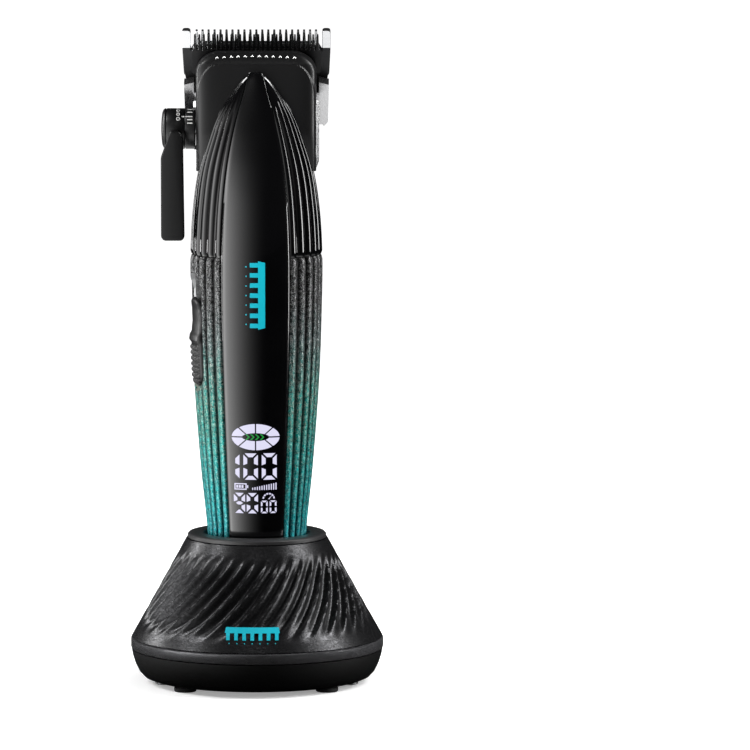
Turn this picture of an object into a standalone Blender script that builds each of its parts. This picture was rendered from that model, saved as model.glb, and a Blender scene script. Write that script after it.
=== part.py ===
"""Cordless hair clipper standing in its charging dock.

Units in the named values are millimetres and degrees; every mesh is written in metres.
+X is the user's right, -Y is the front with the display, +Z is up. The origin is the
centre of the dock's foot circle on the table.
"""
import math

import bmesh
import bpy
import numpy as np
from mathutils import Matrix, Vector

MM = 0.001
GAP = 0.3                 # clearance left between neighbouring pieces

# Driving dimensions of the clipper body
BODY_BOTTOM = 29.0
SEAM = 134.0              # joint between the lower grip shell and the upper shell
UPPER_TOP = 160.0         # where the upper shell stops being a full ring
NOSE_TOP = 189.0          # tip of the upper shell's two wings
WALL = 0.90               # inner surface of a shell as a share of its outer one
# height, half-width, centre y, front y, rear y, half-width of the centre panel
BODY_STATIONS = (
    (26.0, 14.3, 0.0, -13.8, 13.8, 8.1),
    (47.0, 15.4, 0.0, -15.0, 15.0, 8.7),
    (67.0, 17.4, 0.0, -16.9, 16.9, 9.5),
    (97.0, 19.6, 0.0, -18.7, 18.7, 10.5),
    (117.0, 20.3, 0.0, -19.2, 19.0, 10.9),
    (134.0, 20.5, 0.0, -19.2, 19.0, 10.9),
    (149.0, 19.6, -1.5, -18.3, 18.2, 10.3),
    (161.0, 17.7, -4.5, -16.6, 17.0, 9.1),
    (170.0, 14.8, -7.0, -14.9, 16.0, 7.6),
    (178.0, 11.7, -8.3, -13.2, 15.0, 5.8),
    (185.0, 7.1, -8.8, -11.8, 14.0, 3.9),
    (191.0, 2.6, -9.1, -10.7, 13.0, 2.45),
)
PANEL_BOTTOM = 31.0
PANEL_TOP = 191.0
PANEL_THICKNESS = 1.2

# Head
SHIELD_HALF_WIDTH = 18.6
SHIELD_BOTTOM = 160.0
SHIELD_TOP = 197.0
SHIELD_CORNER = 6.0
SHIELD_WALL = 1.8
SHIELD_FRONT = (-11.0, -8.3)      # front y at the shield's bottom and top
COVER_HALF_WIDTH = 20.2
COVER_REAR = 17.0
COVER_TOP = 181.5

# Blade set, laid out in its own plane: n is the height in front of the fixed blade's
# inner face, s is the distance along the blade, zero at the tooth tips
BLADE_TILT = math.radians(20.0)
BLADE_TIP = (4.0, 203.0)          # y and z of the tooth tips
BLADE_HALF_WIDTH = 23.0
FIXED_TEETH = 21
FIXED_PITCH = 1.85
CUTTER_TEETH = 28
CUTTER_PITCH = 1.41
CUTTER_HALF_WIDTH = 19.9

# Taper lever
LEVER_AXIS = (1.0, 172.8)         # y and z of the hub's axis, which runs along X
HUB_RADIUS = 6.3

# Motor and battery
MOTOR_Y = 2.4
MOTOR_RADIUS = 12.0
CRANK_OFFSET = 1.0
CELL_RADIUS = 9.3
CELL_Y = 1.0

# Power switch, on the user's left
SWITCH_ANGLE = -75.0
SWITCH_SPREAD = 17.0

# Dock
DOCK_RADIUS = 39.4
DOCK_TOP = 47.0
SEAT_TOP_RADIUS = 16.5
SEAT_FLOOR = 25.8
FOOT_CIRCLE = 31.0
PIN_X = 4.0


def clear_scene():
    for obj in list(bpy.data.objects):
        bpy.data.objects.remove(obj)


def finish(name, colour, roughness, metallic=0.0):
    """A Principled material, made once for each finish."""
    found = bpy.data.materials.get(name)
    if found:
        return found
    made = bpy.data.materials.new(name)
    made.use_nodes = True
    shader = made.node_tree.nodes["Principled BSDF"]
    shader.inputs["Base Color"].default_value = (*colour, 1.0)
    shader.inputs["Roughness"].default_value = roughness
    shader.inputs["Metallic"].default_value = metallic
    made.diffuse_color = (*colour, 1.0)
    return made


def black_plastic():
    return finish("black_abs", (0.010, 0.010, 0.011), 0.35)


def gloss_black():
    return finish("gloss_black_abs", (0.006, 0.006, 0.007), 0.08)


def teal_shell():
    return finish("teal_lacquer", (0.010, 0.250, 0.270), 0.35)


def blade_steel():
    return finish("ground_steel", (0.62, 0.62, 0.63), 0.22, 1.0)


def black_steel():
    return finish("blackened_steel", (0.03, 0.03, 0.032), 0.30, 1.0)


def zinc_silver():
    return finish("silver_zinc", (0.70, 0.70, 0.71), 0.25, 1.0)


def brass():
    return finish("gilt_brass", (0.85, 0.62, 0.25), 0.20, 1.0)


def rubber():
    return finish("black_rubber", (0.02, 0.02, 0.02), 0.80)


def circuit_board():
    return finish("green_board", (0.01, 0.12, 0.05), 0.45)


def add_object(name, bm, look, sharp_angle=35.0):
    """Turn a mesh drawn in millimetres into a named, smooth-shaded object."""
    bmesh.ops.recalc_face_normals(bm, faces=bm.faces)
    bmesh.ops.scale(bm, vec=(MM, MM, MM), verts=bm.verts)
    mesh = bpy.data.meshes.new(name)
    bm.to_mesh(mesh)
    bm.free()
    mesh.shade_smooth()
    mesh.set_sharp_from_angle(angle=math.radians(sharp_angle))
    mesh.materials.append(look)
    obj = bpy.data.objects.new(name, mesh)
    bpy.context.scene.collection.objects.link(obj)
    return obj


def place(obj, position, rotation=(0.0, 0.0, 0.0)):
    obj.location = [value * MM for value in position]
    obj.rotation_euler = rotation
    return obj


def loft(name, loops, look):
    """Join closed loops of equal length one after another and cap both ends."""
    bm = bmesh.new()
    rings = [[bm.verts.new(point) for point in loop] for loop in loops]
    count = len(rings[0])
    for lower, upper in zip(rings, rings[1:]):
        for i in range(count):
            j = (i + 1) % count
            bm.faces.new((lower[i], lower[j], upper[j], upper[i]))
    bm.faces.new(rings[0])
    bm.faces.new(rings[-1])
    return add_object(name, bm, look)


def extruded(name, outline, start, end, look, plane="XZ"):
    """A flat outline given depth: XZ outlines run along Y, YZ ones along X, XY ones along Z."""
    order = {"XZ": lambda a, b, d: (a, d, b), "YZ": lambda a, b, d: (d, a, b),
             "XY": lambda a, b, d: (a, b, d)}[plane]
    loops = [[order(a, b, depth) for a, b in outline] for depth in (start, end)]
    return loft(name, loops, look)


def turned(name, profile, look, segments=48, axis="Z", at=(0.0, 0.0, 0.0)):
    """A closed (radius, height) profile spun round its axis; radius zero lies on the axis."""
    bm = bmesh.new()
    points = [bm.verts.new((radius, 0.0, height)) for radius, height in profile]
    edges = [bm.edges.new((a, b)) for a, b in zip(points, points[1:] + points[:1])]
    edges = [e for e in edges if max(v.co.x for v in e.verts) > 1e-6]
    bmesh.ops.spin(bm, geom=points + edges, cent=(0, 0, 0), axis=(0, 0, 1),
                   angle=math.tau, steps=segments, use_merge=True)
    bmesh.ops.remove_doubles(bm, verts=bm.verts, dist=1e-4)
    loose = [v for v in bm.verts if not v.link_faces]
    bmesh.ops.delete(bm, geom=loose, context="VERTS")
    if axis == "X":
        bmesh.ops.rotate(bm, verts=bm.verts, matrix=Matrix.Rotation(math.pi / 2, 3, "Y"))
    return place(add_object(name, bm, look), at)


def rod(name, radius, start, end, look, segments=20, axis="Z", at=(0.0, 0.0, 0.0)):
    profile = ((0.0, start), (radius, start), (radius, end), (0.0, end))
    return turned(name, profile, look, segments, axis, at)


def block(name, low, high, look, bevel=0.0):
    """A box between two corners, with its edges rounded off when bevel is given."""
    bm = bmesh.new()
    bmesh.ops.create_cube(bm, size=1.0)
    low, high = Vector(low), Vector(high)
    bmesh.ops.scale(bm, vec=high - low, verts=bm.verts)
    bmesh.ops.translate(bm, vec=(low + high) / 2, verts=bm.verts)
    if bevel:
        bmesh.ops.bevel(bm, geom=bm.edges[:], offset=bevel, segments=1, affect="EDGES")
    return add_object(name, bm, look)


def combine(obj, operation, tools):
    """Add tools to a piece or take them out of it; they stay as hidden guides."""
    for tool in tools:
        tool.hide_render = True
        tool.display_type = "WIRE"
        modifier = obj.modifiers.new(f"{operation.lower()}_{tool.name}", "BOOLEAN")
        modifier.operation = operation
        modifier.solver = "EXACT"
        modifier.object = tool
    return obj


def cut(obj, *cutters):
    return combine(obj, "DIFFERENCE", cutters)


def join(obj, *additions):
    return combine(obj, "UNION", additions)


# ---------------------------------------------------------------- body sections

def body_section(z):
    """Half-width, centre, front, rear and panel half-width on a smooth curve at height z."""
    table = np.array(BODY_STATIONS)
    heights = table[:, 0]
    i = int(np.clip(np.searchsorted(heights, z) - 1, 0, len(heights) - 2))
    step = heights[i + 1] - heights[i]
    t = (z - heights[i]) / step
    slopes = np.gradient(table[:, 1:], heights, axis=0) * step
    a, b = table[i, 1:], table[i + 1, 1:]
    return ((1 + 2 * t) * (1 - t) ** 2 * a + t * (1 - t) ** 2 * slopes[i]
            + t * t * (3 - 2 * t) * b + t * t * (t - 1) * slopes[i + 1])


def body_point(z, angle, scale=1.0):
    """Point on the body at height z; the angle is 0 at the front and grows towards +X."""
    half_width, centre, front, rear, _ = body_section(z)
    depth = centre - front if math.cos(angle) > 0 else rear - centre
    return (half_width * math.sin(angle) * scale, centre - depth * math.cos(angle) * scale, z)


def panel_edge(z, scale=1.0, clearance=0.0):
    """Angle at which the side of the centre panel meets a surface of the given scale."""
    half_width, _, _, _, panel = body_section(z)
    return math.asin(min((panel - clearance) / (half_width * scale), 0.97))


def arc_points(z, start, end, scale, steps):
    return [body_point(z, start + (end - start) * i / steps, scale) for i in range(steps + 1)]


def sector_loop(z, start, end, inner, outer, steps):
    return arc_points(z, start, end, outer, steps) + arc_points(z, end, start, inner, steps)


def levels(bottom, top, spacing):
    """Evenly spaced heights from bottom to top."""
    return list(np.linspace(bottom, top, max(2, round((top - bottom) / spacing) + 1)))


def lower_levels():
    return levels(BODY_BOTTOM, SEAM - GAP / 2, 13.0)


def upper_levels():
    return levels(SEAM + GAP / 2, NOSE_TOP, 5.5)


def shell_loops(heights, steps):
    """A C-shaped wall from one edge of the panel round the back to the other."""
    loops = []
    for z in heights:
        outer, inner = panel_edge(z), panel_edge(z, WALL)
        loops.append(arc_points(z, outer, math.tau - outer, 1.0, steps)
                     + arc_points(z, math.tau - inner, inner, WALL, steps))
    return loops


def side_sector(name, bottom, top, spread, inner, outer, look):
    """A curved plate on the user's left, centred on the power switch."""
    start = math.radians(SWITCH_ANGLE - spread)
    end = math.radians(SWITCH_ANGLE + spread)
    loops = [sector_loop(z, start, end, inner, outer, 6) for z in levels(bottom, top, 9.0)]
    return loft(name, loops, look)


def make_lower_shell():
    shell = loft("lower_shell", shell_loops(lower_levels(), 30), teal_shell())
    window = side_sector("switch_window", 91.5, 129.0, SWITCH_SPREAD + 3.5, 0.80, 1.10,
                         black_plastic())
    return cut(shell, window)


def shield_loop(z, grow, rear):
    """D-shaped section of the face shell: a blunt rounded front and a flat rear."""
    share = (z - SHIELD_BOTTOM) / (SHIELD_TOP - SHIELD_BOTTOM)
    front = SHIELD_FRONT[0] + (SHIELD_FRONT[1] - SHIELD_FRONT[0]) * share
    corner_start = SHIELD_TOP - SHIELD_CORNER
    half_width = SHIELD_HALF_WIDTH
    if z > corner_start:
        rise = min((z - corner_start) / SHIELD_CORNER, 1.0)
        half_width -= SHIELD_CORNER * (1 - math.sqrt(1 - rise * rise))
    half_width += grow
    depth = grow - front
    steps = 18
    loop = [(-half_width, rear, z)]
    for i in range(steps + 1):
        angle = math.pi * (i / steps) - math.pi / 2
        across, along = math.sin(angle), max(math.cos(angle), 0.0)
        loop.append((half_width * math.copysign(abs(across) ** 0.67, across),
                     -depth * along ** 0.67, z))
    loop.append((half_width, rear, z))
    return loop


def make_upper_shell():
    """Ring behind the panel whose front runs on as two wings over the face shell."""
    shell = loft("upper_shell", shell_loops(upper_levels(), 32), gloss_black())
    head_space = loft("head_space", [shield_loop(z, GAP, 40.0) for z in (UPPER_TOP, 191.0)],
                      black_plastic())
    return cut(shell, head_space)


def make_display_panel():
    """One glossy window strip from the foot of the body to the tip of the nose."""
    loops = []
    for z in [PANEL_BOTTOM] + lower_levels()[1:] + upper_levels() + [PANEL_TOP]:
        _, centre, front, _, _ = body_section(z)
        edge = panel_edge(z, 1.0, GAP)
        thickness = min(PANEL_THICKNESS, 0.35 * (centre - front))
        outside = arc_points(z, -edge, edge, 1.0, 8)
        inside = [(x * 0.98, y + thickness, z) for x, y, z in reversed(outside)]
        loops.append(outside + inside)
    return loft("display_panel", loops, gloss_black())


def make_bottom_cap():
    loops = []
    for z, scale in ((26.2, 0.90), (27.2, 0.96), (28.7, 0.98)):
        loops.append([body_point(z, math.tau * i / 32, scale) for i in range(32)])
    cap = loft("bottom_cap", loops, black_plastic())
    holes = [rod(f"contact_hole_{side}", 1.6, 25.0, 30.0, brass(), 16, at=(x, 0, 0))
             for side, x in (("left", -PIN_X), ("right", PIN_X))]
    jack_hole = block("jack_hole", (-4.9, 5.6, 25.0), (4.9, 9.4, 30.0), black_plastic())
    for side, x in (("left", -PIN_X), ("right", PIN_X)):
        rod(f"charging_contact_{side}", 1.3, 26.4, 29.6, brass(), 16, at=(x, 0, 0))
    jack = block("power_jack", (-4.5, 6.0, 26.6), (4.5, 9.0, 34.0), zinc_silver())
    cut(jack, block("jack_mouth", (-4.0, 6.4, 26.0), (4.0, 8.6, 32.0), black_plastic()))
    return cut(cap, *holes, jack_hole)


# ---------------------------------------------------------------- inside the body

def make_electronics():
    rod("battery_cell", CELL_RADIUS, 60.0, 125.2, finish("cell_wrap", (0.02, 0.12, 0.35), 0.4),
        32, at=(0.0, CELL_Y, 0.0))
    cradle = []
    for z in (62.0, 123.0):
        angles = [math.radians(95 + 170 * i / 14) for i in range(15)]
        rounds = [[(r * math.sin(a), CELL_Y - r * math.cos(a), z) for a in angles]
                  for r in (11.2, 9.7)]
        cradle.append(rounds[0] + rounds[1][::-1])
    loft("battery_cradle", cradle, black_plastic())
    block("main_board", (-8.0, -10.9, 46.0), (8.0, -9.7, 128.0), circuit_board())
    block("display_module", (-6.8, -12.2, 51.0), (6.8, -11.2, 82.0),
          finish("display_glass", (0.01, 0.01, 0.012), 0.1))
    side_sector("switch_base", 92.0, 128.5, SWITCH_SPREAD + 2.6, 0.86, 0.925, black_plastic())


def make_power_switch():
    """Slider that runs up its track: a low upper part, a ridge and a gripped lower part."""
    start = math.radians(SWITCH_ANGLE - SWITCH_SPREAD)
    end = math.radians(SWITCH_ANGLE + SWITCH_SPREAD)
    steps = ((93.0, 0.985), (94.2, 1.012), (105.5, 1.012), (107.5, 1.035), (109.0, 1.030),
             (112.0, 0.995), (118.5, 0.995), (121.0, 1.015))
    loops = [sector_loop(z, start, end, 0.955, outer, 6) for z, outer in steps]
    return loft("power_switch", loops, black_plastic())


def make_motor():
    steel = finish("motor_can", (0.55, 0.55, 0.56), 0.3, 1.0)
    turned("motor", ((0.0, 129.0), (11.0, 129.0), (MOTOR_RADIUS, 130.0), (MOTOR_RADIUS, 158.4),
                     (11.4, 159.2), (3.0, 159.2), (3.0, 162.6), (0.0, 162.6)),
           steel, 32, at=(0.0, MOTOR_Y, 0.0))
    turned("motor_mount", ((3.4, 160.4), (11.0, 160.4), (11.0, 162.4), (3.4, 162.4)),
           black_plastic(), 32, at=(0.0, MOTOR_Y, 0.0))
    hub = rod("eccentric", 4.2, 163.6, 168.0, blade_steel(), 24, at=(0.0, MOTOR_Y, 0.0))
    join(hub, rod("crank_pin", 0.75, 167.0, 173.6, blade_steel(), 12,
                  at=(0.0, MOTOR_Y - CRANK_OFFSET, 0.0)))


# ---------------------------------------------------------------- head

def make_face_shell():
    """Box-like hood: front wall, side walls and a roof that reaches back to the blades."""
    corner_start = SHIELD_TOP - SHIELD_CORNER
    heights = [SHIELD_BOTTOM, 175.0]
    heights += [corner_start + SHIELD_CORNER * math.sin(math.radians(a)) for a in (0, 22, 45, 67)]
    shell = loft("face_shell", [shield_loop(z, 0.0, 9.0) for z in heights + [SHIELD_TOP - 0.1]],
                 black_plastic())
    loops = []
    for z in [SHIELD_BOTTOM - 5.0] + heights[1:]:
        drop = SHIELD_WALL if z >= corner_start else 0.0
        loops.append([(x, y, z - drop) for x, y, _ in shield_loop(z, -SHIELD_WALL, 25.0)])
    hollow = loft("face_hollow", loops, black_plastic())
    behind = [(0.0, 150.0), (0.0, COVER_TOP + GAP), (6.0, COVER_TOP + GAP)]
    behind += [blade_point(n, s) for n, s in ((5.4, -14.6), (2.8, -14.6), (2.8, 4.0))]
    behind += [(40.0, 210.0), (40.0, 150.0)]
    rear_space = extruded("rear_space", behind, -40.0, 40.0, black_plastic(), "YZ")
    return cut(shell, hollow, rear_space, lever_bore())


def lever_bore():
    y, z = LEVER_AXIS
    found = bpy.data.objects.get("lever_bore")
    return found or rod("lever_bore", 2.4, -24.0, -12.0, black_plastic(), 20, "X", (0.0, y, z))


def blade_frame(obj, x=0.0):
    """Stand a piece drawn in blade coordinates (X, -n, s) in its tilted plane."""
    return place(obj, (x, *BLADE_TIP), (BLADE_TILT, 0.0, 0.0))


def make_rear_cover():
    def loop(z, half_width):
        angles = [math.radians(91.5 + 177.0 * i / 22) for i in range(23)]
        rounds = [[(scale * half_width * math.sin(a), -scale * COVER_REAR * math.cos(a), z)
                   for a in angles] for scale in (1.0, 0.91)]
        return rounds[0] + rounds[1][::-1]
    cover = loft("rear_cover", [loop(160.4, 19.0), loop(162.6, COVER_HALF_WIDTH),
                                loop(COVER_TOP, COVER_HALF_WIDTH)], zinc_silver())
    blade_space = blade_frame(block("blade_space", (-30, -5.8, -31.5), (30, 15, 12),
                                    black_plastic()))
    boss_space = rod("boss_space", HUB_RADIUS + GAP, -26.0, -17.0, black_plastic(), 32, "X",
                     (0.0, *LEVER_AXIS))
    return cut(cover, blade_space, boss_space)


def comb(teeth, pitch, tooth_width, tip_width, root, tip, body):
    """Outline of a toothed blade: teeth along the top, then the given body corners."""
    outline = []
    for i in range(teeth):
        x = (i - (teeth - 1) / 2) * pitch
        outline += [(x - tooth_width / 2, root), (x - tip_width / 2, tip),
                    (x + tip_width / 2, tip), (x + tooth_width / 2, root)]
    return outline + body


def make_blades():
    """Fixed blade at the rear, moving cutter in front of it, and the bracket that holds both."""
    side = BLADE_HALF_WIDTH
    right = [(20.4, -5.9), (20.4, -0.2), (20.8, 0.0), (side - 0.8, 0.0), (side, -0.8),
             (side, -6.3), (side - 0.4, -14.4), (19.8, -14.9), (19.8, -28.0), (18.8, -29.0)]
    left = [(-x, s) for x, s in reversed(right)]
    fixed = extruded("fixed_blade", comb(FIXED_TEETH, FIXED_PITCH, 1.0, 0.7, -4.4, -0.1,
                                         right + left), 0.0, 2.2, blade_steel())
    cutter_body = [(CUTTER_HALF_WIDTH, -5.7), (CUTTER_HALF_WIDTH, -13.5),
                   (-CUTTER_HALF_WIDTH, -13.5), (-CUTTER_HALF_WIDTH, -5.7)]
    cutter = extruded("cutter_blade", comb(CUTTER_TEETH, CUTTER_PITCH, 0.85, 0.35, -5.7, -1.1,
                                           cutter_body), -2.3, -GAP, black_steel())
    rail = [(14.0, -15.4), (22.5, -15.4), (22.2, -29.0), (20.6, -30.5)]
    outline = rail + [(-x, s) for x, s in reversed(rail)] + [(-14.0, -27.8), (14.0, -27.8)]
    bracket = extruded("blade_bracket", outline, -5.0, -GAP, zinc_silver())
    for obj in (fixed, cutter, bracket):
        blade_frame(obj)
    for name, x in (("left", -17.0), ("right", 17.0)):
        screw = ((0.0, 2.6), (1.2, 2.6), (1.2, -4.0), (0.0, -4.0))
        head = ((0.0, 3.7), (2.4, 3.7), (2.4, 2.6)) + screw[1:]
        make_blade_screw(f"blade_screw_{name}", head, x)
        hole = make_blade_screw(f"screw_hole_{name}", ((0, 8), (1.6, 8), (1.6, -8), (0, -8)), x)
        cut(fixed, hole)
        cut(bracket, hole)


def make_blade_screw(name, profile, x):
    """A turned piece whose axis stands square to the blade, at the screw line."""
    piece = turned(name, [(radius, -height) for radius, height in profile], blade_steel(), 18)
    centre = blade_point(0.0, -21.5)
    return place(piece, (x, *centre), (BLADE_TILT + math.pi / 2, 0.0, 0.0))


def blade_point(n, s):
    """World y and z of a point n in front of the fixed blade and s along it."""
    return (BLADE_TIP[0] - n * math.cos(BLADE_TILT) - s * math.sin(BLADE_TILT),
            BLADE_TIP[1] - n * math.sin(BLADE_TILT) + s * math.cos(BLADE_TILT))


def make_cutter_drive():
    """Carriage moved by the taper lever, cutter spring, and the fork the crank pin drives."""
    carriage = block("taper_carriage", (-13.6, -3.5, -26.0), (13.6, -0.5, -16.0),
                     black_plastic(), 0.5)
    blade_frame(carriage)
    y, z = LEVER_AXIS
    fork = [(y + 2.0, z + 1.7), (y + 2.0, z + 3.2), (y + 5.4, z + 3.2)]
    fork += [blade_point(n, s) for n, s in ((7.0, -25.5), (7.0, -19.5), (3.8, -19.5),
                                            (3.8, -25.8), (5.4, -26.0), (5.4, -30.6))]
    fork += [(y + 7.4, z - 3.0), (y + 2.0, z - 3.0), (y + 2.0, z - 1.7), (y + 5.0, z - 1.7),
             (y + 5.0, z + 1.7)]
    extruded("taper_link", fork, -13.2, -11.4, blade_steel(), "YZ")
    top_rear, top_front = blade_point(2.6, -9.5), blade_point(4.4, -9.5)
    heel = blade_point(2.6, -13.0)
    arm = [top_rear, heel, (5.6, 188.6), (5.6, 170.2), (-3.6, 170.2), (-3.6, 172.4),
           (3.4, 172.4), (3.4, 188.0), top_front]
    drive = extruded("drive_fork", arm, -5.2, 5.2, finish("acetal", (0.75, 0.75, 0.72), 0.4),
                     "YZ")
    slot = block("fork_slot", (-3.1, MOTOR_Y - 3.2, 169.0), (3.1, MOTOR_Y + 3.0, 174.0),
                 black_plastic())
    cut(drive, slot)
    make_cutter_spring()


def make_cutter_spring():
    curve = bpy.data.curves.new("cutter_spring", "CURVE")
    curve.dimensions = "3D"
    curve.bevel_depth = 0.45 * MM
    curve.bevel_resolution = 1
    curve.use_fill_caps = True
    half = [(8.0, 3.2, -9.5), (8.0, 3.3, -12.0), (8.0, 4.5, -15.6), (8.0, 4.5, -20.5),
            (6.8, 4.5, -22.0)]
    path = half + [(-x, n, s) for x, n, s in reversed(half)]
    line = curve.splines.new("POLY")
    line.points.add(len(path) - 1)
    for point, (x, n, s) in zip(line.points, path):
        point.co = (x * MM, -n * MM, s * MM, 1.0)
    curve.materials.append(blade_steel())
    obj = bpy.data.objects.new("cutter_spring", curve)
    bpy.context.scene.collection.objects.link(obj)
    return blade_frame(obj)


def make_taper_lever():
    at = (0.0, *LEVER_AXIS)
    r = HUB_RADIUS
    turned("lever_boss", ((2.3, -18.9), (r, -18.9), (r, -21.9), (2.3, -21.9)), black_plastic(),
           36, "X", at)
    turned("lever_hub", ((0.0, -22.2), (r, -22.2), (r, -27.7), (0.0, -27.7)), black_plastic(),
           36, "X", at)
    turned("lever_cap", ((0.0, -28.0), (r, -28.0), (r - 0.5, -28.8), (r - 2.0, -29.3),
                         (0.0, -29.5)), black_plastic(), 36, "X", at)
    rod("lever_shaft", 1.9, -21.9, -16.3, blade_steel(), 20, "X", at)
    cam = rod("taper_cam", 4.4, -16.0, -13.6, blade_steel(), 24, "X", at)
    join(cam, rod("cam_pin", 0.8, -14.0, -11.2, blade_steel(), 12, "X",
                  (0.0, LEVER_AXIS[0] + 3.2, LEVER_AXIS[1])))
    outline = [(-26.5, 172.8), (-23.6, 172.8), (-22.5, 170.8), (-22.1, 139.7), (-22.9, 138.7),
               (-28.5, 138.7), (-29.4, 139.7), (-29.4, 164.6)]
    front = LEVER_AXIS[0] - r - GAP
    arm = extruded("lever_arm", outline, front - 3.2, front, black_plastic())
    arm.data.transform(Matrix.Translation([-MM * value for value in at]))
    place(arm, at)


# ---------------------------------------------------------------- dock

def make_dock():
    black = black_plastic()
    turned("dock_shell", ((22.0, 45.2), (39.1, 14.4), (36.8, 14.4), (19.9, 44.8), (19.9, 45.2)),
           finish("flecked_black_abs", (0.008, 0.008, 0.009), 0.28), 64)
    turned("dock_top_ring", ((16.6, 45.5), (16.6, 46.6), (17.0, DOCK_TOP), (21.1, DOCK_TOP),
                             (21.6, 46.5), (21.6, 45.5)),
           finish("satin_grey", (0.13, 0.13, 0.135), 0.4), 64)
    cup = turned("dock_seat_cup", ((SEAT_TOP_RADIUS, 45.2), (15.5, SEAT_FLOOR), (0, SEAT_FLOOR),
                                   (0.0, 24.6), (16.8, 24.6), (17.9, 45.2)), black, 40)
    pins = (("left", -PIN_X), ("right", PIN_X))
    cut(cup, *[rod(f"cup_hole_{side}", 1.5, 20.0, 28.0, black, 16, at=(x, 0, 0))
               for side, x in pins])
    turned("dock_band", ((37.6, 10.9), (37.6, 14.1), (DOCK_RADIUS, 14.1), (DOCK_RADIUS, 10.9)),
           finish("polished_band", (0.45, 0.45, 0.46), 0.12, 1.0), 64)
    tray = turned("dock_tray", ((0.0, 1.5), (34.6, 1.5), (36.4, 3.0), (38.2, 6.4), (39.2, 10.6),
                                (37.4, 10.6), (36.2, 6.6), (34.4, 3.6), (0.0, 3.6)), black, 64)
    turned("dock_weight", ((6.0, 3.9), (27.0, 3.9), (27.0, 8.4), (6.0, 8.4)),
           finish("cast_weight", (0.2, 0.2, 0.2), 0.6, 1.0), 40)
    block("dock_board", (-12.0, -9.0, 15.6), (12.0, 9.0, 17.0), circuit_board())
    contact = block("contact_block", (-8.0, -4.0, 17.4), (8.0, 4.0, 24.2), black, 0.5)
    cut(contact, *[rod(f"pin_bore_{side}", 1.2, 19.0, 26.0, black, 16, at=(x, 0, 0))
                   for side, x in pins])
    for side, x in pins:
        turned(f"charge_pin_{side}", ((0, 20.3), (0.9, 20.3), (0.9, 25.7), (0.5, 26.1),
                                      (0, 26.1)), brass(), 16, at=(x, 0, 0))
    make_dock_fittings(tray)


def make_dock_fittings(tray):
    """Power inlet at the rear, screws that hold the tray, and the rubber feet."""
    inlet = block("dock_inlet", (-4.5, 28.0, 4.2), (4.5, 36.6, 7.4), zinc_silver(), 0.4)
    cut(inlet, block("inlet_mouth", (-3.9, 30.0, 4.8), (3.9, 40.0, 6.8), black_plastic()))
    cut(tray, block("inlet_window", (-4.9, 26.0, 3.8), (4.9, 45.0, 7.8), black_plastic()))
    for i, degrees in enumerate((20, 160, 200, 340)):
        at = (FOOT_CIRCLE * math.cos(math.radians(degrees)),
              FOOT_CIRCLE * math.sin(math.radians(degrees)), 0.0)
        turned(f"dock_screw_{i + 1}", ((0, 0.4), (2.4, 0.4), (2.4, 1.2), (1.3, 1.2), (1.3, 9.0),
                                       (0, 9.0)), zinc_silver(), 16, at=at)
        cut(tray, rod(f"tray_hole_{i + 1}", 1.6, 0.0, 5.0, black_plastic(), 16, at=at))
    for name, degrees in (("rear_right", 45), ("rear_left", 135), ("front_left", 225),
                          ("front_right", 315)):
        at = (FOOT_CIRCLE * math.cos(math.radians(degrees)),
              FOOT_CIRCLE * math.sin(math.radians(degrees)), 0.0)
        turned(f"dock_foot_{name}", ((0, 0), (3.2, 0), (3.5, 0.3), (3.5, 1.2), (0, 1.2)),
               rubber(), 24, at=at)


clear_scene()
make_dock()
make_bottom_cap()
make_lower_shell()
make_upper_shell()
make_display_panel()
make_electronics()
make_power_switch()
make_motor()
make_face_shell()
make_rear_cover()
make_blades()
make_cutter_drive()
make_taper_lever()
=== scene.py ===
"""Cordless hair clipper standing in its charging dock: the looks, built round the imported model.

Sizes are in millimetres and angles in degrees unless a name says otherwise. +X is the user's
right, -Y the front with the display, +Z up.
"""
import math

import bmesh
import bpy
from mathutils import Matrix, Vector


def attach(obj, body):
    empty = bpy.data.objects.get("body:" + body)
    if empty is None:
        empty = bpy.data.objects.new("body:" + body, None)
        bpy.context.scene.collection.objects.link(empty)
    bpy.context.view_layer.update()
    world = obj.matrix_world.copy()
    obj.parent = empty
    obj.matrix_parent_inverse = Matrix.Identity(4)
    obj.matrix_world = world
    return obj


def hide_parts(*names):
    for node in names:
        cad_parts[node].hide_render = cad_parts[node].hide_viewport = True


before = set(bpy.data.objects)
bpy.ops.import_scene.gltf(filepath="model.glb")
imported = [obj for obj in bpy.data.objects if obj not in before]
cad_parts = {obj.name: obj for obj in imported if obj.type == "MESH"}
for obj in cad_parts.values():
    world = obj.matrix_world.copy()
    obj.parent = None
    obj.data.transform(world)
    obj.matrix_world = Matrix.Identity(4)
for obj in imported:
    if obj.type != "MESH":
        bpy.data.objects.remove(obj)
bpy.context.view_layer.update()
MM = 0.001


# ------------------------------------------------------------------ camera and studio
# A long lens looks slightly down on the clipper, which stands left of the middle of the
# picture. Five soft boxes light it. The camera sees a white room, but every other ray sees a
# dark one with one wide painted glow on the left.

def linear(hex_colour):
    """sRGB hex to the linear colour that a shader socket takes."""
    channels = [int(hex_colour[i:i + 2], 16) / 255 for i in (1, 3, 5)]
    return [c / 12.92 if c <= 0.04045 else ((c + 0.055) / 1.055) ** 2.4 for c in channels] + [1.0]


def add_node(tree, kind, inputs=None, **settings):
    """Add one node, set its properties, and set or link its inputs."""
    node = tree.nodes.new(kind)
    for key, value in settings.items():
        setattr(node, key, value)
    for key, value in (inputs or {}).items():
        if isinstance(value, bpy.types.NodeSocket):
            tree.links.new(value, node.inputs[key])
        else:
            node.inputs[key].default_value = value
    return node


def link_new(name, data):
    obj = bpy.data.objects.new(name, data)
    bpy.context.scene.collection.objects.link(obj)
    return obj


def aim(obj, location, target):
    obj.location = location
    obj.rotation_euler = (Vector(target) - Vector(location)).to_track_quat("-Z", "Y").to_euler()


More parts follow.
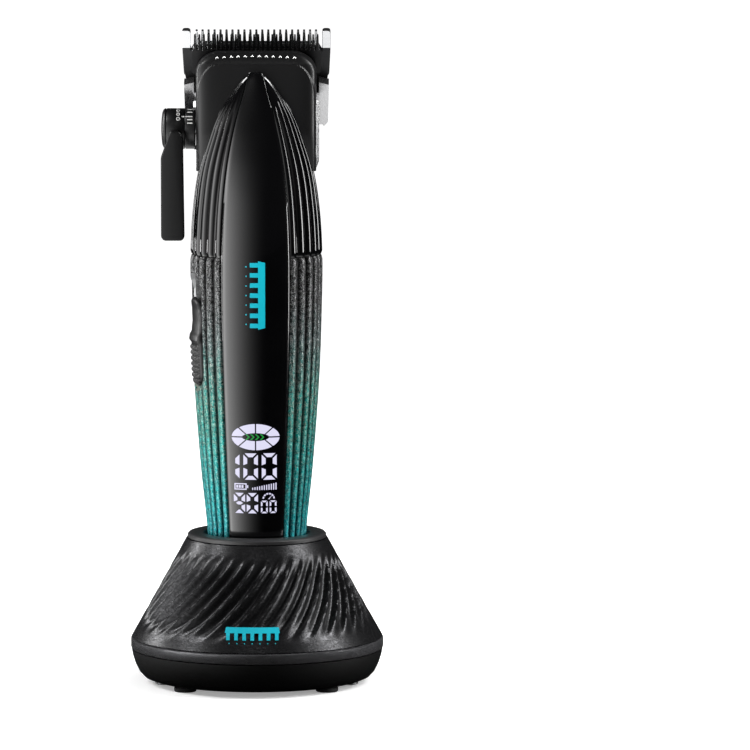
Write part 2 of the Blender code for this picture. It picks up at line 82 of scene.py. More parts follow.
CAMERA_X = 0.0368
camera = link_new("camera", bpy.data.cameras.new("camera"))
camera.data.lens = 341.7
camera.data.clip_start = 0.05
aim(camera, (CAMERA_X, -2.2, 0.347), (CAMERA_X, 0.0, 0.096))
bpy.context.scene.camera = camera
bpy.context.scene.view_settings.view_transform = "Standard"


def soft_box(name, location, target, width, height, watts):
    lamp = bpy.data.lights.new(name, "AREA")
    lamp.shape = "RECTANGLE"
    lamp.size = width
    lamp.size_y = height
    lamp.energy = watts
    aim(link_new(name, lamp), location, target)


soft_box("left_rim_box", (-0.69, 0.30, 0.24), (0.0, 0.0, 0.12), 0.12, 0.7, 5.0)
soft_box("right_box", (0.75, -0.07, 0.24), (0.0, 0.0, 0.12), 0.20, 0.7, 7.0)
soft_box("upper_left_box", (-0.60, -0.12, 0.72), (0.0, 0.0, 0.04), 0.24, 0.24, 4.2)
soft_box("upper_right_box", (0.60, -0.04, 0.72), (0.0, 0.0, 0.04), 0.24, 0.24, 5.0)
soft_box("front_top_box", (0.0, -0.70, 0.68), (0.0, 0.0, 0.19), 0.40, 0.10, 0.3)


def reckon(tree, operation, *values):
    """One step of arithmetic on sockets or plain numbers."""
    return add_node(tree, "ShaderNodeMath", dict(enumerate(values)),
                    operation=operation).outputs[0]


def ranged(tree, value, low=0.0, high=1.0, start=0.0, end=1.0, smooth="LINEAR"):
    """Take low..high to start..end, and hold it beyond both."""
    return add_node(tree, "ShaderNodeMapRange", {
        "Value": value, "From Min": low, "From Max": high, "To Min": start, "To Max": end},
        interpolation_type=smooth).outputs[0]


def eased(tree, value, low, high, start=0.0, end=1.0):
    """The same, with a soft start and a soft end."""
    return ranged(tree, value, low, high, start, end, "SMOOTHSTEP")


def object_place(tree):
    return add_node(tree, "ShaderNodeTexCoord").outputs["Object"]


def split_by_ray(tree, other_rays, camera_rays):
    """One shader for what the camera sees directly, another for every other ray."""
    path = add_node(tree, "ShaderNodeLightPath")
    return add_node(tree, "ShaderNodeMixShader", {
        0: path.outputs["Is Camera Ray"], 1: other_rays.outputs[0],
        2: camera_rays.outputs[0]}).outputs[0]


def left_glow(tree, towards):
    """The wide diffuser on the left: bright beside the clipper, dying out past its front."""
    turned_back = add_node(tree, "ShaderNodeVectorMath", {0: towards, "Scale": -1.0},
                           operation="SCALE")
    sides = add_node(tree, "ShaderNodeSeparateXYZ", {"Vector": turned_back.outputs[0]})
    turn = reckon(tree, "ARCTAN2", sides.outputs["X"], sides.outputs["Y"])
    share = ranged(tree, turn, math.radians(-22.0), math.radians(80.0))
    ends = eased(tree, turn, math.radians(100.0), math.radians(60.0))
    swell = reckon(tree, "MULTIPLY", reckon(tree, "POWER", share, 2.8), 9.6)
    return reckon(tree, "MULTIPLY", reckon(tree, "MINIMUM", swell, 6.0), ends)


world = bpy.data.worlds.new("white_sweep")
world.use_nodes = True
bpy.context.scene.world = world
sky = world.node_tree
sky.nodes.clear()
seen = add_node(sky, "ShaderNodeBackground", {"Color": linear("#ffffff"), "Strength": 1.0})
towards = add_node(sky, "ShaderNodeTexCoord").outputs["Generated"]
upward = add_node(sky, "ShaderNodeSeparateXYZ", {"Vector": towards}).outputs["Z"]
low_glow = reckon(sky, "MULTIPLY", left_glow(sky, towards), eased(sky, upward, 0.42, 0.12))
fill = add_node(sky, "ShaderNodeBackground", {
    "Color": linear("#ffffff"), "Strength": reckon(sky, "ADD", low_glow, 0.03)})
add_node(sky, "ShaderNodeOutputWorld", {"Surface": split_by_ray(sky, fill, seen)})

FLOOR_HALF = 4.0
paper_mesh = bpy.data.meshes.new("floor")
paper_mesh.from_pydata([(-FLOOR_HALF, -FLOOR_HALF, 0), (FLOOR_HALF, -FLOOR_HALF, 0),
                        (FLOOR_HALF, FLOOR_HALF, 0), (-FLOOR_HALF, FLOOR_HALF, 0)],
                       [], [(0, 1, 2, 3)])
floor = link_new("floor", paper_mesh)
paper = bpy.data.materials.new("white_paper")
paper.use_nodes = True
tree = paper.node_tree
tree.nodes.clear()
paper_mesh.materials.append(paper)
place = object_place(tree)
far = add_node(tree, "ShaderNodeVectorMath", {0: place}, operation="LENGTH").outputs["Value"]
# A soft shadow round the foot of the dock is painted on the paper by distance.
paleness = eased(tree, far, 0.034, 0.066, 0.30, 1.0)
lit_paper = add_node(tree, "ShaderNodeBsdfDiffuse", {"Color": linear("#f0f0f0")})
lifted = add_node(tree, "ShaderNodeEmission", {"Strength": paleness})
both = add_node(tree, "ShaderNodeAddShader", {0: lit_paper.outputs[0], 1: lifted.outputs[0]})
# Other rays see the glow, and a light that leaves the paper only steeply upwards. It is gated
# by the ray's own direction, so what the pieces mirror of it changes with the view.
steepness = add_node(tree, "ShaderNodeSeparateXYZ", {
    "Vector": add_node(tree, "ShaderNodeNewGeometry").outputs["Incoming"]}).outputs["Z"]
upward = reckon(tree, "MULTIPLY", eased(tree, steepness, 0.42, 0.60), eased(tree, far, 0.07, 0.12))
glow = reckon(tree, "MULTIPLY", left_glow(tree, place), eased(tree, far, 0.08, 0.18))
mirrored = add_node(tree, "ShaderNodeEmission", {
    "Strength": reckon(tree, "MULTIPLY_ADD", upward, 1.5, glow)})
add_node(tree, "ShaderNodeOutputMaterial", {"Surface": split_by_ray(tree, mirrored, both)})


# ------------------------------------------------------------------ dock tray
# The tray is the black ABS dish that closes the dock from below. It is injection moulded
# with a fine spark-eroded skin, which gives a soft sheen and no clear reflection.

def material(name, hex_colour, roughness, metallic=0.0, **sockets):
    """A Principled material whose uniform values sit on the shader itself."""
    made = bpy.data.materials.new(name)
    made.use_nodes = True
    shader = made.node_tree.nodes["Principled BSDF"]
    shader.inputs["Base Color"].default_value = linear(hex_colour)
    shader.inputs["Roughness"].default_value = roughness
    shader.inputs["Metallic"].default_value = metallic
    for key, value in sockets.items():
        shader.inputs[key.replace("_", " ")].default_value = value
    return made, made.node_tree, shader


def feed(tree, shader, **sockets):
    """Link a socket to each named input of a shader."""
    for key, value in sockets.items():
        tree.links.new(value, shader.inputs[key.replace("_", " ")])


def bumped(tree, height, distance_mm, strength=1.0):
    return add_node(tree, "ShaderNodeBump", {"Height": height, "Distance": distance_mm * MM,
                                             "Strength": strength}).outputs[0]


def grained(name, hex_colour, roughness, texture, metallic=0.0, **sockets):
    """A material with a moulding or grinding texture: one fine noise drives both its roughness
    and its bump. The texture is (grain mm, height mm, low and high roughness, stretch)."""
    made, tree, shader = material(name, hex_colour, roughness, metallic, **sockets)
    size_mm, height_mm, low_rough, high_rough, stretch = (*texture, (1, 1, 1))[:5]
    fit = add_node(tree, "ShaderNodeMapping", {"Vector": object_place(tree), "Scale": stretch})
    spots = add_node(tree, "ShaderNodeTexNoise", {
        "Vector": fit.outputs[0], "Detail": 4.0, "Scale": 1 / (size_mm * MM),
        "Roughness": 0.6}).outputs["Fac"]
    feed(tree, shader, Roughness=ranged(tree, spots, 0.3, 0.7, low_rough, high_rough),
         Normal=bumped(tree, spots, height_mm))
    return made


def loft(loops, wrap=False):
    """A mesh through closed loops of equal length: a ring of loops, or one capped at its ends."""
    bm = bmesh.new()
    rings = [[bm.verts.new(point) for point in loop] for loop in loops]
    count = len(rings[0])
    pairs = list(zip(rings, rings[1:]))
    if wrap:
        pairs.append((rings[-1], rings[0]))
    for lower, upper in pairs:
        for i in range(count):
            j = (i + 1) % count
            bm.faces.new((lower[i], lower[j], upper[j], upper[i]))
    if not wrap:
        bm.faces.new(rings[0])
        bm.faces.new(rings[-1])
    return bm


def soften(outline, radius, steps=3):
    """Round the corners of a flat closed outline, as a mould or a tumbled edge does."""
    softened = []
    count = len(outline)
    for i, corner in enumerate(outline):
        corner = Vector(corner)
        before = Vector(outline[i - 1]) - corner
        after = Vector(outline[(i + 1) % count]) - corner
        start = corner + before.normalized() * min(radius, before.length * 0.45)
        end = corner + after.normalized() * min(radius, after.length * 0.45)
        for k in range(steps + 1):
            t = k / steps
            softened.append(start * (1 - t) ** 2 + corner * 2 * t * (1 - t) + end * t * t)
    return [tuple(point) for point in softened]


def turned(profile, segments=96):
    """A closed outline of (radius, height) points turned round the Z axis."""
    loops = []
    for i in range(segments):
        angle = math.tau * i / segments
        loops.append([(r * math.cos(angle), r * math.sin(angle), z) for r, z in profile])
    bm = loft(loops, wrap=True)
    bmesh.ops.remove_doubles(bm, verts=bm.verts, dist=1e-4)
    slivers = [f for f in bm.faces if f.calc_area() < 1e-7]
    bmesh.ops.delete(bm, geom=slivers, context="FACES")
    return bm


def solid_from(name, bm, place=None):
    """Turn a mesh drawn in millimetres into an object whose faces all look outwards."""
    if place:
        bmesh.ops.transform(bm, matrix=place, verts=bm.verts)
    bmesh.ops.recalc_face_normals(bm, faces=bm.faces)
    if bm.calc_volume(signed=True) < 0:
        bmesh.ops.reverse_faces(bm, faces=bm.faces)
    bmesh.ops.scale(bm, vec=(MM, MM, MM), verts=bm.verts)
    mesh = bpy.data.meshes.new(name)
    bm.to_mesh(mesh)
    bm.free()
    return link_new(name, mesh)


def carve(piece, cutter):
    """Cut one mesh out of another for good, and drop the cutter."""
    cutting = piece.modifiers.new("carve", "BOOLEAN")
    cutting.operation = "DIFFERENCE"
    cutting.solver = "MANIFOLD"
    cutting.object = cutter
    bpy.context.view_layer.update()
    graph = bpy.context.evaluated_depsgraph_get()
    carved = bpy.data.meshes.new_from_object(piece.evaluated_get(graph))
    piece.modifiers.remove(cutting)
    piece.data = carved
    bpy.data.objects.remove(cutter)


def seat(name, bm, look, body, slot, *stands_for, sharp=40.0, place=None, holes=()):
    """Finish a mesh as a piece that rides a body of the model, less its (mesh, place) holes."""
    piece = solid_from(name, bm, place)
    for number, (hole, hole_place) in enumerate(holes):
        carve(piece, solid_from(f"{name}_hole_{number}", hole, hole_place))
    piece.data.shade_smooth()
    piece.data.set_sharp_from_angle(angle=math.radians(sharp))
    piece.data.materials.clear()
    piece.data.materials.append(look)
    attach(piece, body)
    if stands_for:
        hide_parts(*stands_for)
    return piece


spark_black = grained("spark_eroded_black_abs", "#070707", 0.5, (0.25, 0.012, 0.42, 0.55),
                      IOR=1.45)

TRAY_TOP = 10.6
TRAY_PROFILE = [(0.0, 1.5), (33.8, 1.5), (35.4, 2.1), (36.8, 3.6), (38.1, 6.2), (38.9, 8.8),
                (39.2, TRAY_TOP), (37.4, TRAY_TOP), (36.2, 6.6), (34.4, 3.6), (0.0, 3.6)]
seat("tray_dish", turned(TRAY_PROFILE, 160), spark_black, "dock", "black_abs", "dock_tray",
     sharp=50.0)


# ------------------------------------------------------------------ dock feet and tray screws
# Four moulded rubber pads keep the dock from sliding, and four plated pan-head screws hold
# the tray to the shell. A round dimple stands for the driver's recess in each head.

rubber = grained("moulded_black_rubber", "#141414", 0.85, (0.4, 0.02, 0.78, 0.92), IOR=1.52)
plated = grained("zinc_plated_steel", "#b9babb", 0.3, (0.5, 0.003, 0.22, 0.38), 1.0)

FOOT_CIRCLE = 31.0
FOOT_PROFILE = [(0.0, 0.25), (2.4, 0.25), (2.8, 0.0), (3.2, 0.0), (3.45, 0.2), (3.5, 0.6),
                (3.5, 1.2), (0.0, 1.2)]


def on_circle(degrees):
    angle = math.radians(degrees)
    return Matrix.Translation((FOOT_CIRCLE * math.cos(angle), FOOT_CIRCLE * math.sin(angle), 0.0))


for corner, degrees in (("rear_right", 45), ("rear_left", 135), ("front_left", 225),
                        ("front_right", 315)):
    seat("rubber_foot_" + corner, turned(FOOT_PROFILE, 48), rubber, "dock", "black_rubber",
         "dock_foot_" + corner, place=on_circle(degrees))


def pan_head_screw(head_radius, head_height, shank_radius, length):
    """A screw standing on its head, with a round dimple in the head."""
    dome = [(0.0, 0.55), (0.35, 0.5), (head_radius * 0.45, 0.06), (head_radius * 0.75, 0.02),
            (head_radius, 0.3), (head_radius, head_height), (shank_radius, head_height)]
    return turned(dome + [(shank_radius, length), (0.0, length)], 40)


for number, degrees in enumerate((20, 160, 200, 340), 1):
    seat(f"tray_screw_{number}", pan_head_screw(2.4, 0.8, 1.3, 8.6), plated, "dock",
         "silver_zinc", f"dock_screw_{number}", sharp=30.0,
         place=on_circle(degrees) @ Matrix.Translation((0, 0, 0.4)))


# ------------------------------------------------------------------ dock shell and band
# The cone and the band under it are ABS sprayed with black metallic lacquer, then brushed
# crosswise, which leaves short bright hairs. Forty leaf-shaped flutes wind down the cone.

def hairs(tree, strokes, low=0.60, high=0.74):
    """Short brushed hairs in the surface's own millimetres: (turn, length, width) each."""
    laid = add_node(tree, "ShaderNodeUVMap", uv_map="surface_mm")
    found = None
    for turn, length, width in strokes:
        turned_to = add_node(tree, "ShaderNodeMapping", {
            "Vector": laid.outputs[0], "Rotation": (0, 0, math.radians(turn)),
            "Location": (turn * 1.7, length * 31, 0)})
        drawn = add_node(tree, "ShaderNodeMapping", {
            "Vector": turned_to.outputs[0], "Scale": (1 / length, 1 / width, 1)})
        noise = add_node(tree, "ShaderNodeTexNoise", {
            "Vector": drawn.outputs[0], "Scale": 1.0, "Detail": 1.0, "Roughness": 0.4},
            noise_dimensions="2D")
        stroke = ranged(tree, noise.outputs["Fac"], low, high)
        found = stroke if found is None else reckon(tree, "MAXIMUM", found, stroke)
    return found


def mixed(tree, factor, first, second):
    return add_node(tree, "ShaderNodeMix", {"Factor": factor, "A": first, "B": second},
                    data_type="RGBA").outputs["Result"]


def crosshatch(name, hex_colour, hair_colour, roughness):
    """Metallic lacquer brushed crosswise."""
    made, tree, shader = material(name, hex_colour, roughness, 0.7, IOR=1.5)
    brushed = hairs(tree, ((38, 2.2, 0.11), (-42, 2.0, 0.10), (8, 2.4, 0.11), (83, 2.0, 0.10),
                           (61, 2.2, 0.10), (-14, 2.0, 0.10)), 0.64, 0.72)
    feed(tree, shader,
         Base_Color=mixed(tree, brushed, linear(hex_colour), linear(hair_colour)),
         Roughness=ranged(tree, brushed, 0.0, 1.0, roughness, roughness * 0.62),
         Normal=bumped(tree, brushed, 0.006, 0.6))
    return made


brushed_lacquer = crosshatch("crosshatched_black_lacquer", "#141415", "#343436", 0.36)
brushed_band = crosshatch("crosshatched_steel_lacquer", "#4a4a4c", "#8d8d90", 0.34)

SHELL_TOP = (22.0, 45.2)
SHELL_FOOT = (39.1, 14.4)
FLUTES = 40
FLUTE_DEPTH = 1.7
FLUTE_TWIST = math.radians(40.0)
FLUTE_SPAN = (16.8, 42.6)


def smooth_step(value, low, high):
    t = min(max((value - low) / (high - low), 0.0), 1.0)
    return t * t * (3 - 2 * t)


def flute_depth(angle, z):
    """How far a flute is let into the cone: a skewed scoop that narrows to both its ends."""
    share = (z - FLUTE_SPAN[0]) / (FLUTE_SPAN[1] - FLUTE_SPAN[0])
    if not 0.0 < share < 1.0:
        return 0.0
    leaf = smooth_step(share, 0.0, 0.30) * smooth_step(1 - share, 0.0, 0.30)
    turn = (angle - FLUTE_TWIST * share) * FLUTES / math.tau
    across = (turn - math.floor(turn)) ** 1.6
    return FLUTE_DEPTH * leaf * math.sin(math.pi * across) ** 1.3


def map_round(bm, radius_of, layer_name="surface_mm"):
    """Lay the surface out flat in millimetres: round the axis across, along the slope up."""
    layer = bm.loops.layers.uv.new(layer_name)
    for face in bm.faces:
        middle = math.atan2(face.calc_center_median().y, face.calc_center_median().x)
        for corner in face.loops:
            x, y, z = corner.vert.co
            angle = math.atan2(y, x)
            angle += math.tau * round((middle - angle) / math.tau)
            corner[layer].uv = (angle * radius_of, z * 1.15)
    return bm


def cone_point(angle, share, inset=0.0):
    """A point on the cone from its top (share 0) to its foot (share 1)."""
    radius = SHELL_TOP[0] + (SHELL_FOOT[0] - SHELL_TOP[0]) * share
    z = SHELL_TOP[1] + (SHELL_FOOT[1] - SHELL_TOP[1]) * share
    slope = math.atan2(SHELL_FOOT[0] - SHELL_TOP[0], SHELL_TOP[1] - SHELL_FOOT[1])
    inset += flute_depth(angle + math.pi / 2, z)
    radius -= inset * math.cos(slope)
    return (radius * math.cos(angle), radius * math.sin(angle), z - inset * math.sin(slope))


rows = 64
loops = []
for i in range(FLUTES * 14):
    angle = math.tau * i / (FLUTES * 14)
    outside = [cone_point(angle, k / rows) for k in range(rows + 1)]
    inner = [(36.8, 14.4), (20.1, 44.6), (20.1, 45.2)]
    inside = [(r * math.cos(angle), r * math.sin(angle), z) for r, z in inner]
    loops.append(outside + inside)
seat("fluted_cone", map_round(loft(loops, wrap=True), 31.0), brushed_lacquer, "dock",
     "flecked_black_abs", "dock_shell", sharp=38.0)

BAND_PROFILE = [(37.6, 10.9), (37.6, 14.1), (39.0, 14.1), (39.4, 13.8), (39.4, 11.2),
                (39.2, 10.9)]
seat("metallic_band", map_round(turned(BAND_PROFILE, 160), 39.4), brushed_band, "dock",
     "polished_band", "dock_band")


# ------------------------------------------------------------------ dock ring and seat
# A satin grey ring trims the mouth of the dock. Under it a black cup of ABS guides the
# clipper's foot down on to two sprung contact pins.

satin_ring = grained("satin_grey_abs", "#262627", 0.38, (0.2, 0.006, 0.38, 0.48), IOR=1.5)
RING_PROFILE = [(16.5, 45.5), (16.5, 46.5), (16.7, 46.9), (17.1, 47.0), (20.6, 47.0),
                (21.2, 46.85), (21.6, 46.4), (21.6, 45.5)]
seat("mouth_ring", turned(RING_PROFILE, 160), satin_ring, "dock", "satin_grey", "dock_top_ring")


# ------------------------------------------------------------------ lower grip shell
# The lower half of the grip is one ABS moulding with eleven rounded ribs down each side. Its
# crackle lacquer fades from black through slate to teal, veined with silver and pale gold.

# height, half-width, centre y, front y, rear y, half-width of the centre panel
BODY_STATIONS = (
    (26.0, 14.3, 0.0, -13.8, 13.8, 8.1), (47.0, 15.4, 0.0, -15.0, 15.0, 8.7),
    (67.0, 17.4, 0.0, -16.9, 16.9, 9.5), (97.0, 19.6, 0.0, -18.7, 18.7, 10.5),
    (117.0, 20.3, 0.0, -19.2, 19.0, 10.9), (134.0, 20.5, 0.0, -19.2, 19.0, 10.9),
    (149.0, 19.6, -1.5, -18.3, 18.2, 10.3), (161.0, 17.7, -4.5, -16.6, 17.0, 9.1),
    (170.0, 14.8, -7.0, -14.9, 16.0, 7.6), (178.0, 11.7, -8.3, -13.2, 15.0, 5.8),
    (185.0, 7.1, -8.8, -11.8, 14.0, 3.9), (191.0, 2.6, -9.1, -10.7, 13.0, 2.45),
)
WALL_SHARE = 0.90
SEAM = 134.0
RIB_PITCH = math.radians(10.7)
RIB_START = math.radians(-2.2)
RIBS_A_SIDE = 11
RIB_DEPTH = 1.0


def curve_slope(k, column):
    """Slope of a station column, from its neighbours."""
    low, high = max(k - 1, 0), min(k + 1, len(BODY_STATIONS) - 1)
    steps = [(BODY_STATIONS[b][column] - BODY_STATIONS[a][column])
             / (BODY_STATIONS[b][0] - BODY_STATIONS[a][0])
             for a, b in ((low, k), (k, high)) if a != b]
    return sum(steps) / len(steps)


def body_section(z):
    """Half-width, centre, front, rear and panel half-width on a smooth curve at height z."""
    k = 0
    while k < len(BODY_STATIONS) - 2 and z > BODY_STATIONS[k + 1][0]:
        k += 1
    step = BODY_STATIONS[k + 1][0] - BODY_STATIONS[k][0]
    t = (z - BODY_STATIONS[k][0]) / step
    values = []
    for column in range(1, 6):
        a, b = BODY_STATIONS[k][column], BODY_STATIONS[k + 1][column]
        values.append((1 + 2 * t) * (1 - t) ** 2 * a + t * t * (3 - 2 * t) * b
                      + t * (1 - t) ** 2 * step * curve_slope(k, column)
                      + t * t * (t - 1) * step * curve_slope(k + 1, column))
    return values


def body_point(z, angle, scale=1.0, inset=0.0):
    """Point on the body; the angle is 0 at the front and grows towards +X."""
    half_width, centre, front, rear, _ = body_section(z)
    depth = centre - front if math.cos(angle) > 0 else rear - centre
    share = scale - inset / max(half_width, 1.0)
    return (half_width * math.sin(angle) * share, centre - depth * math.cos(angle) * share, z)


def panel_edge(z, scale=1.0, clearance=0.0):
    """Angle at which the side of the centre panel meets the body."""
    half_width, _, _, _, panel = body_section(z)
    return math.asin(min((panel - clearance) / (half_width * scale), 0.97))


def rib_inset(angle, edge):
    """Depth of the groove between two ribs; the ribs start at the panel and end at the spine."""
    turn = (min(angle, math.tau - angle) - edge - RIB_START) / RIB_PITCH
    if turn >= RIBS_A_SIDE + 0.5:
        return 0.0
    across = abs(2 * (turn - math.floor(turn)) - 1)
    return RIB_DEPTH * across ** 2.4


def ribbed_shell(bottom, top, steps, fade):
    """Half-closed ribbed wall from one side of the panel round the back to the other."""
    columns = 400
    loops, grooves = [], []
    for k in range(steps + 1):
        z = bottom + (top - bottom) * k / steps
        outer, inner = panel_edge(z), panel_edge(z, WALL_SHARE)
        ease = 0.35 * (1 - min(min(z - bottom, top - z) / 0.5, 1.0)) ** 2
        outside, inside = [], []
        for i in range(columns + 1):
            angle = outer + (math.tau - 2 * outer) * i / columns
            inset = rib_inset(angle, outer) * fade(z)
            grooves.append(inset / RIB_DEPTH)
            inset += ease
            if i in (0, columns):
                inset += 0.25 * fade(z)
            outside.append(body_point(z, angle, 1.0, inset))
            angle = math.tau - inner - (math.tau - 2 * inner) * i / columns
            inside.append(body_point(z, angle, WALL_SHARE))
        grooves += [0.0] * len(inside)
        loops.append(outside + inside)
    bm = map_round(loft(loops), 19.0)
    bm.verts.index_update()
    # The groove depth is kept in a layer, from which the crackle lacquer paints shade into the
    # grooves.
    layer = bm.loops.layers.uv.new("groove_depth")
    for face in bm.faces:
        for corner in face.loops:
            corner[layer].uv = (grooves[corner.vert.index], 0.0)
    return bm


def ramp(tree, value, stops, interpolation="LINEAR"):
    """A colour ramp node with the given (position, hex colour) stops."""
    made = add_node(tree, "ShaderNodeValToRGB", {"Fac": value})
    made.color_ramp.interpolation = interpolation
    elements = made.color_ramp.elements
    while len(elements) < len(stops):
        elements.new(0.5)
    for element, (position, hex_colour) in zip(elements, stops):
        element.position = position
        element.color = linear(hex_colour)
    return made.outputs["Color"]


def crackle_lacquer(name):
    """Crackle lacquer: dark base coat, brighter top coat in flakes, fine veins and specks. The rib
    grooves keep the dark coat and fainter marks as painted shade.
    """
    made, tree, shader = material(name, "#0a8088", 0.4, 0.55, Specular_IOR_Level=0.2)
    place = object_place(tree)
    height = add_node(tree, "ShaderNodeSeparateXYZ", {"Vector": place}).outputs["Z"]
    drift = add_node(tree, "ShaderNodeTexNoise", {"Vector": place, "Scale": 120.0,
                                                  "Detail": 3.0})
    drifted = reckon(tree, "MULTIPLY_ADD", drift.outputs["Fac"], 0.010, height)
    along = ranged(tree, drifted, 0.035, 0.139)
    deep = ramp(tree, along, [(0.0, "#01384e"), (0.22, "#014048"), (0.48, "#013330"),
                              (0.62, "#061d1c"), (0.74, "#060a0a"), (0.86, "#020202"),
                              (1.0, "#010101")])
    bright = ramp(tree, along, [(0.0, "#00a0bc"), (0.22, "#00b4b6"), (0.48, "#0aa096"),
                                (0.62, "#2f8880"), (0.74, "#3f5554"), (0.86, "#1c1c1c"),
                                (1.0, "#151515")])
    vein = ramp(tree, along, [(0.0, "#7fe0ea"), (0.3, "#a8e4da"), (0.55, "#cfd8c6"),
                              (0.75, "#c9cdcd"), (1.0, "#b4b4b5")])
    wander = add_node(tree, "ShaderNodeTexNoise", {"Vector": place, "Scale": 700.0,
                                                   "Detail": 2.0})
    bent = add_node(tree, "ShaderNodeVectorMath", {0: wander.outputs["Color"],
                                                   1: (0.0012, 0.0012, 0.0012)},
                    operation="MULTIPLY")
    crooked = add_node(tree, "ShaderNodeVectorMath", {0: place, 1: bent.outputs[0]})
    flakes = add_node(tree, "ShaderNodeTexNoise", {"Vector": crooked.outputs[0],
                                                   "Scale": 900.0, "Detail": 5.0,
                                                   "Roughness": 0.7})
    worn = ranged(tree, flakes.outputs["Fac"], 0.36, 0.70)
    scratches = hairs(tree, ((58, 1.6, 0.09), (-50, 1.5, 0.08), (79, 1.9, 0.09),
                             (-73, 1.6, 0.08), (18, 1.4, 0.08)), 0.70, 0.76)
    groove = add_node(tree, "ShaderNodeSeparateXYZ", {
        "Vector": add_node(tree, "ShaderNodeUVMap", uv_map="groove_depth").outputs[0]})
    # Painted shade: the deeper the groove, the more it keeps the dark coat and the fainter its
    # veins and specks.
    raised = eased(tree, groove.outputs["X"], 0.62, 0.10)
    coat = mixed(tree, reckon(tree, "MULTIPLY", worn, raised), deep, bright)
    specks = add_node(tree, "ShaderNodeTexVoronoi", {"Vector": place, "Scale": 700.0,
                                                     "Randomness": 1.0})
    dots = ranged(tree, specks.outputs["Distance"], 0.07, 0.12, 0.8, 0.0)
    marks = reckon(tree, "MAXIMUM", reckon(tree, "MULTIPLY", scratches, 0.8), dots)
    marks = reckon(tree, "MULTIPLY", marks, reckon(tree, "MULTIPLY_ADD", raised, 0.8, 0.2))
    feed(tree, shader, Base_Color=mixed(tree, marks, coat, vein),
         Normal=bumped(tree, worn, 0.03, 0.7),
         Roughness=ranged(tree, worn, 0.0, 1.0, 0.34, 0.50))
    return made


crackle = crackle_lacquer("teal_crackle_lacquer")
SWITCH_ANGLE = math.radians(-75.0)
SWITCH_SPREAD = math.radians(17.0)
SWITCH_RADIUS = 19.5


def stadium(bottom, top, spread, steps=10):
    """Outline of a round-ended slot on the body's left side, as (angle, height) points."""
    radius_mm = spread * SWITCH_RADIUS
    outline = []
    for k in range(steps + 1):
        turn = math.pi * k / steps
        outline.append((spread * math.cos(turn), top - radius_mm * (1 - math.sin(turn))))
    for k in range(steps + 1):
        turn = math.pi * k / steps
        outline.append((-spread * math.cos(turn), bottom + radius_mm * (1 - math.sin(turn))))
    return [(SWITCH_ANGLE + across, z) for across, z in outline]


pocket_outline = stadium(91.5, 129.0, SWITCH_SPREAD + math.radians(2.5))
pocket = loft([[body_point(z, angle, scale) for angle, z in pocket_outline]
               for scale in (0.85, 1.0, 1.1)])
seat("crackled_grip_shell", ribbed_shell(29.0, SEAM - 0.15, 72, lambda z: 1.0), crackle,
     "clipper", "teal_lacquer", "lower_shell", sharp=50.0, holes=[(pocket, None)])


# ------------------------------------------------------------------ upper shell
# The upper half is a polished gloss black ABS ring that carries the ribs on, and runs out at
# the front in two wings that close on the tip of the panel, over the hood of the head.

gloss_black, tree, shader = material("polished_gloss_black_abs", "#060607", 0.09, IOR=1.52)
ripple = add_node(tree, "ShaderNodeTexNoise", {"Vector": object_place(tree), "Scale": 160.0})
feed(tree, shader, Normal=bumped(tree, ripple.outputs["Fac"], 0.05, 0.5))

UPPER_TOP = 160.0
NOSE_TOP = 189.5
HOOD_BOTTOM, HOOD_TOP = 160.0, 197.0
HOOD_HALF_WIDTH = 18.6
HOOD_CORNER = 6.5
HOOD_SQUARENESS = 0.25


def hood_half_width(z):
    rise = min(max((z - HOOD_TOP + HOOD_CORNER) / HOOD_CORNER, 0.0), 1.0)
    return HOOD_HALF_WIDTH - 1.3 * HOOD_CORNER * (1 - math.sqrt(1 - rise * rise))


def hood_front(z):
    low, high = max(172.0 - z, 0.0) / 12.0, max(z - 179.0, 0.0) / 18.0
    return -8.7 + 2.6 * low ** 1.3 + 1.5 * high ** 1.6


def hood_loop(z, grow, rear, steps=48):
    """D-shaped section of the hood: flat front with round corners, flat rear."""
    half_width = hood_half_width(z) + grow
    depth = grow - hood_front(z)
    turns = [math.pi * i / steps - math.pi / 2 for i in range(steps + 1)]
    shares = [2 * i / steps - 1 for i in range(1, steps)]
    turns += [math.copysign(math.asin(abs(s) ** (1 / HOOD_SQUARENESS)), s) for s in shares]
    loop = [(-half_width, rear, z)]
    for angle in sorted(set(turns)):
        across, along = math.sin(angle), max(math.cos(angle), 0.0)
        loop.append((half_width * math.copysign(abs(across) ** HOOD_SQUARENESS, across),
                     -depth * along ** HOOD_SQUARENESS, z))
    loop.append((half_width, rear, z))
    return loop


hood_space = loft([hood_loop(z, 0.25, 40.0) for z in (UPPER_TOP, 170.0, 180.0, 191.0)])
seat("ribbed_upper_shell",
     ribbed_shell(SEAM + 0.15, NOSE_TOP, 60, lambda z: 1 - smooth_step(z, 171.0, 185.0)),
     gloss_black, "clipper", "gloss_black_abs", "upper_shell", sharp=50.0,
     holes=[(hood_space, None)])


# ------------------------------------------------------------------ centre panel and display
# One long strip of tinted, polished acrylic covers the front from the foot to the tip. White
# and green display segments shine through it, and a teal comb mark is printed on it.

tinted, tree, shader = material("tinted_acrylic_window", "#040405", 0.06, IOR=1.49,
                                Coat_Weight=0.4, Coat_Roughness=0.03)
haze = add_node(tree, "ShaderNodeTexNoise", {"Vector": object_place(tree), "Scale": 90.0,
                                             "Detail": 3.0})
feed(tree, shader, Roughness=ranged(tree, haze.outputs["Fac"], 0.0, 1.0, 0.10, 0.20))

PANEL_BOTTOM, PANEL_TOP = 31.0, 191.0
PANEL_THICKNESS = 1.2
PANEL_BEVEL = 0.22


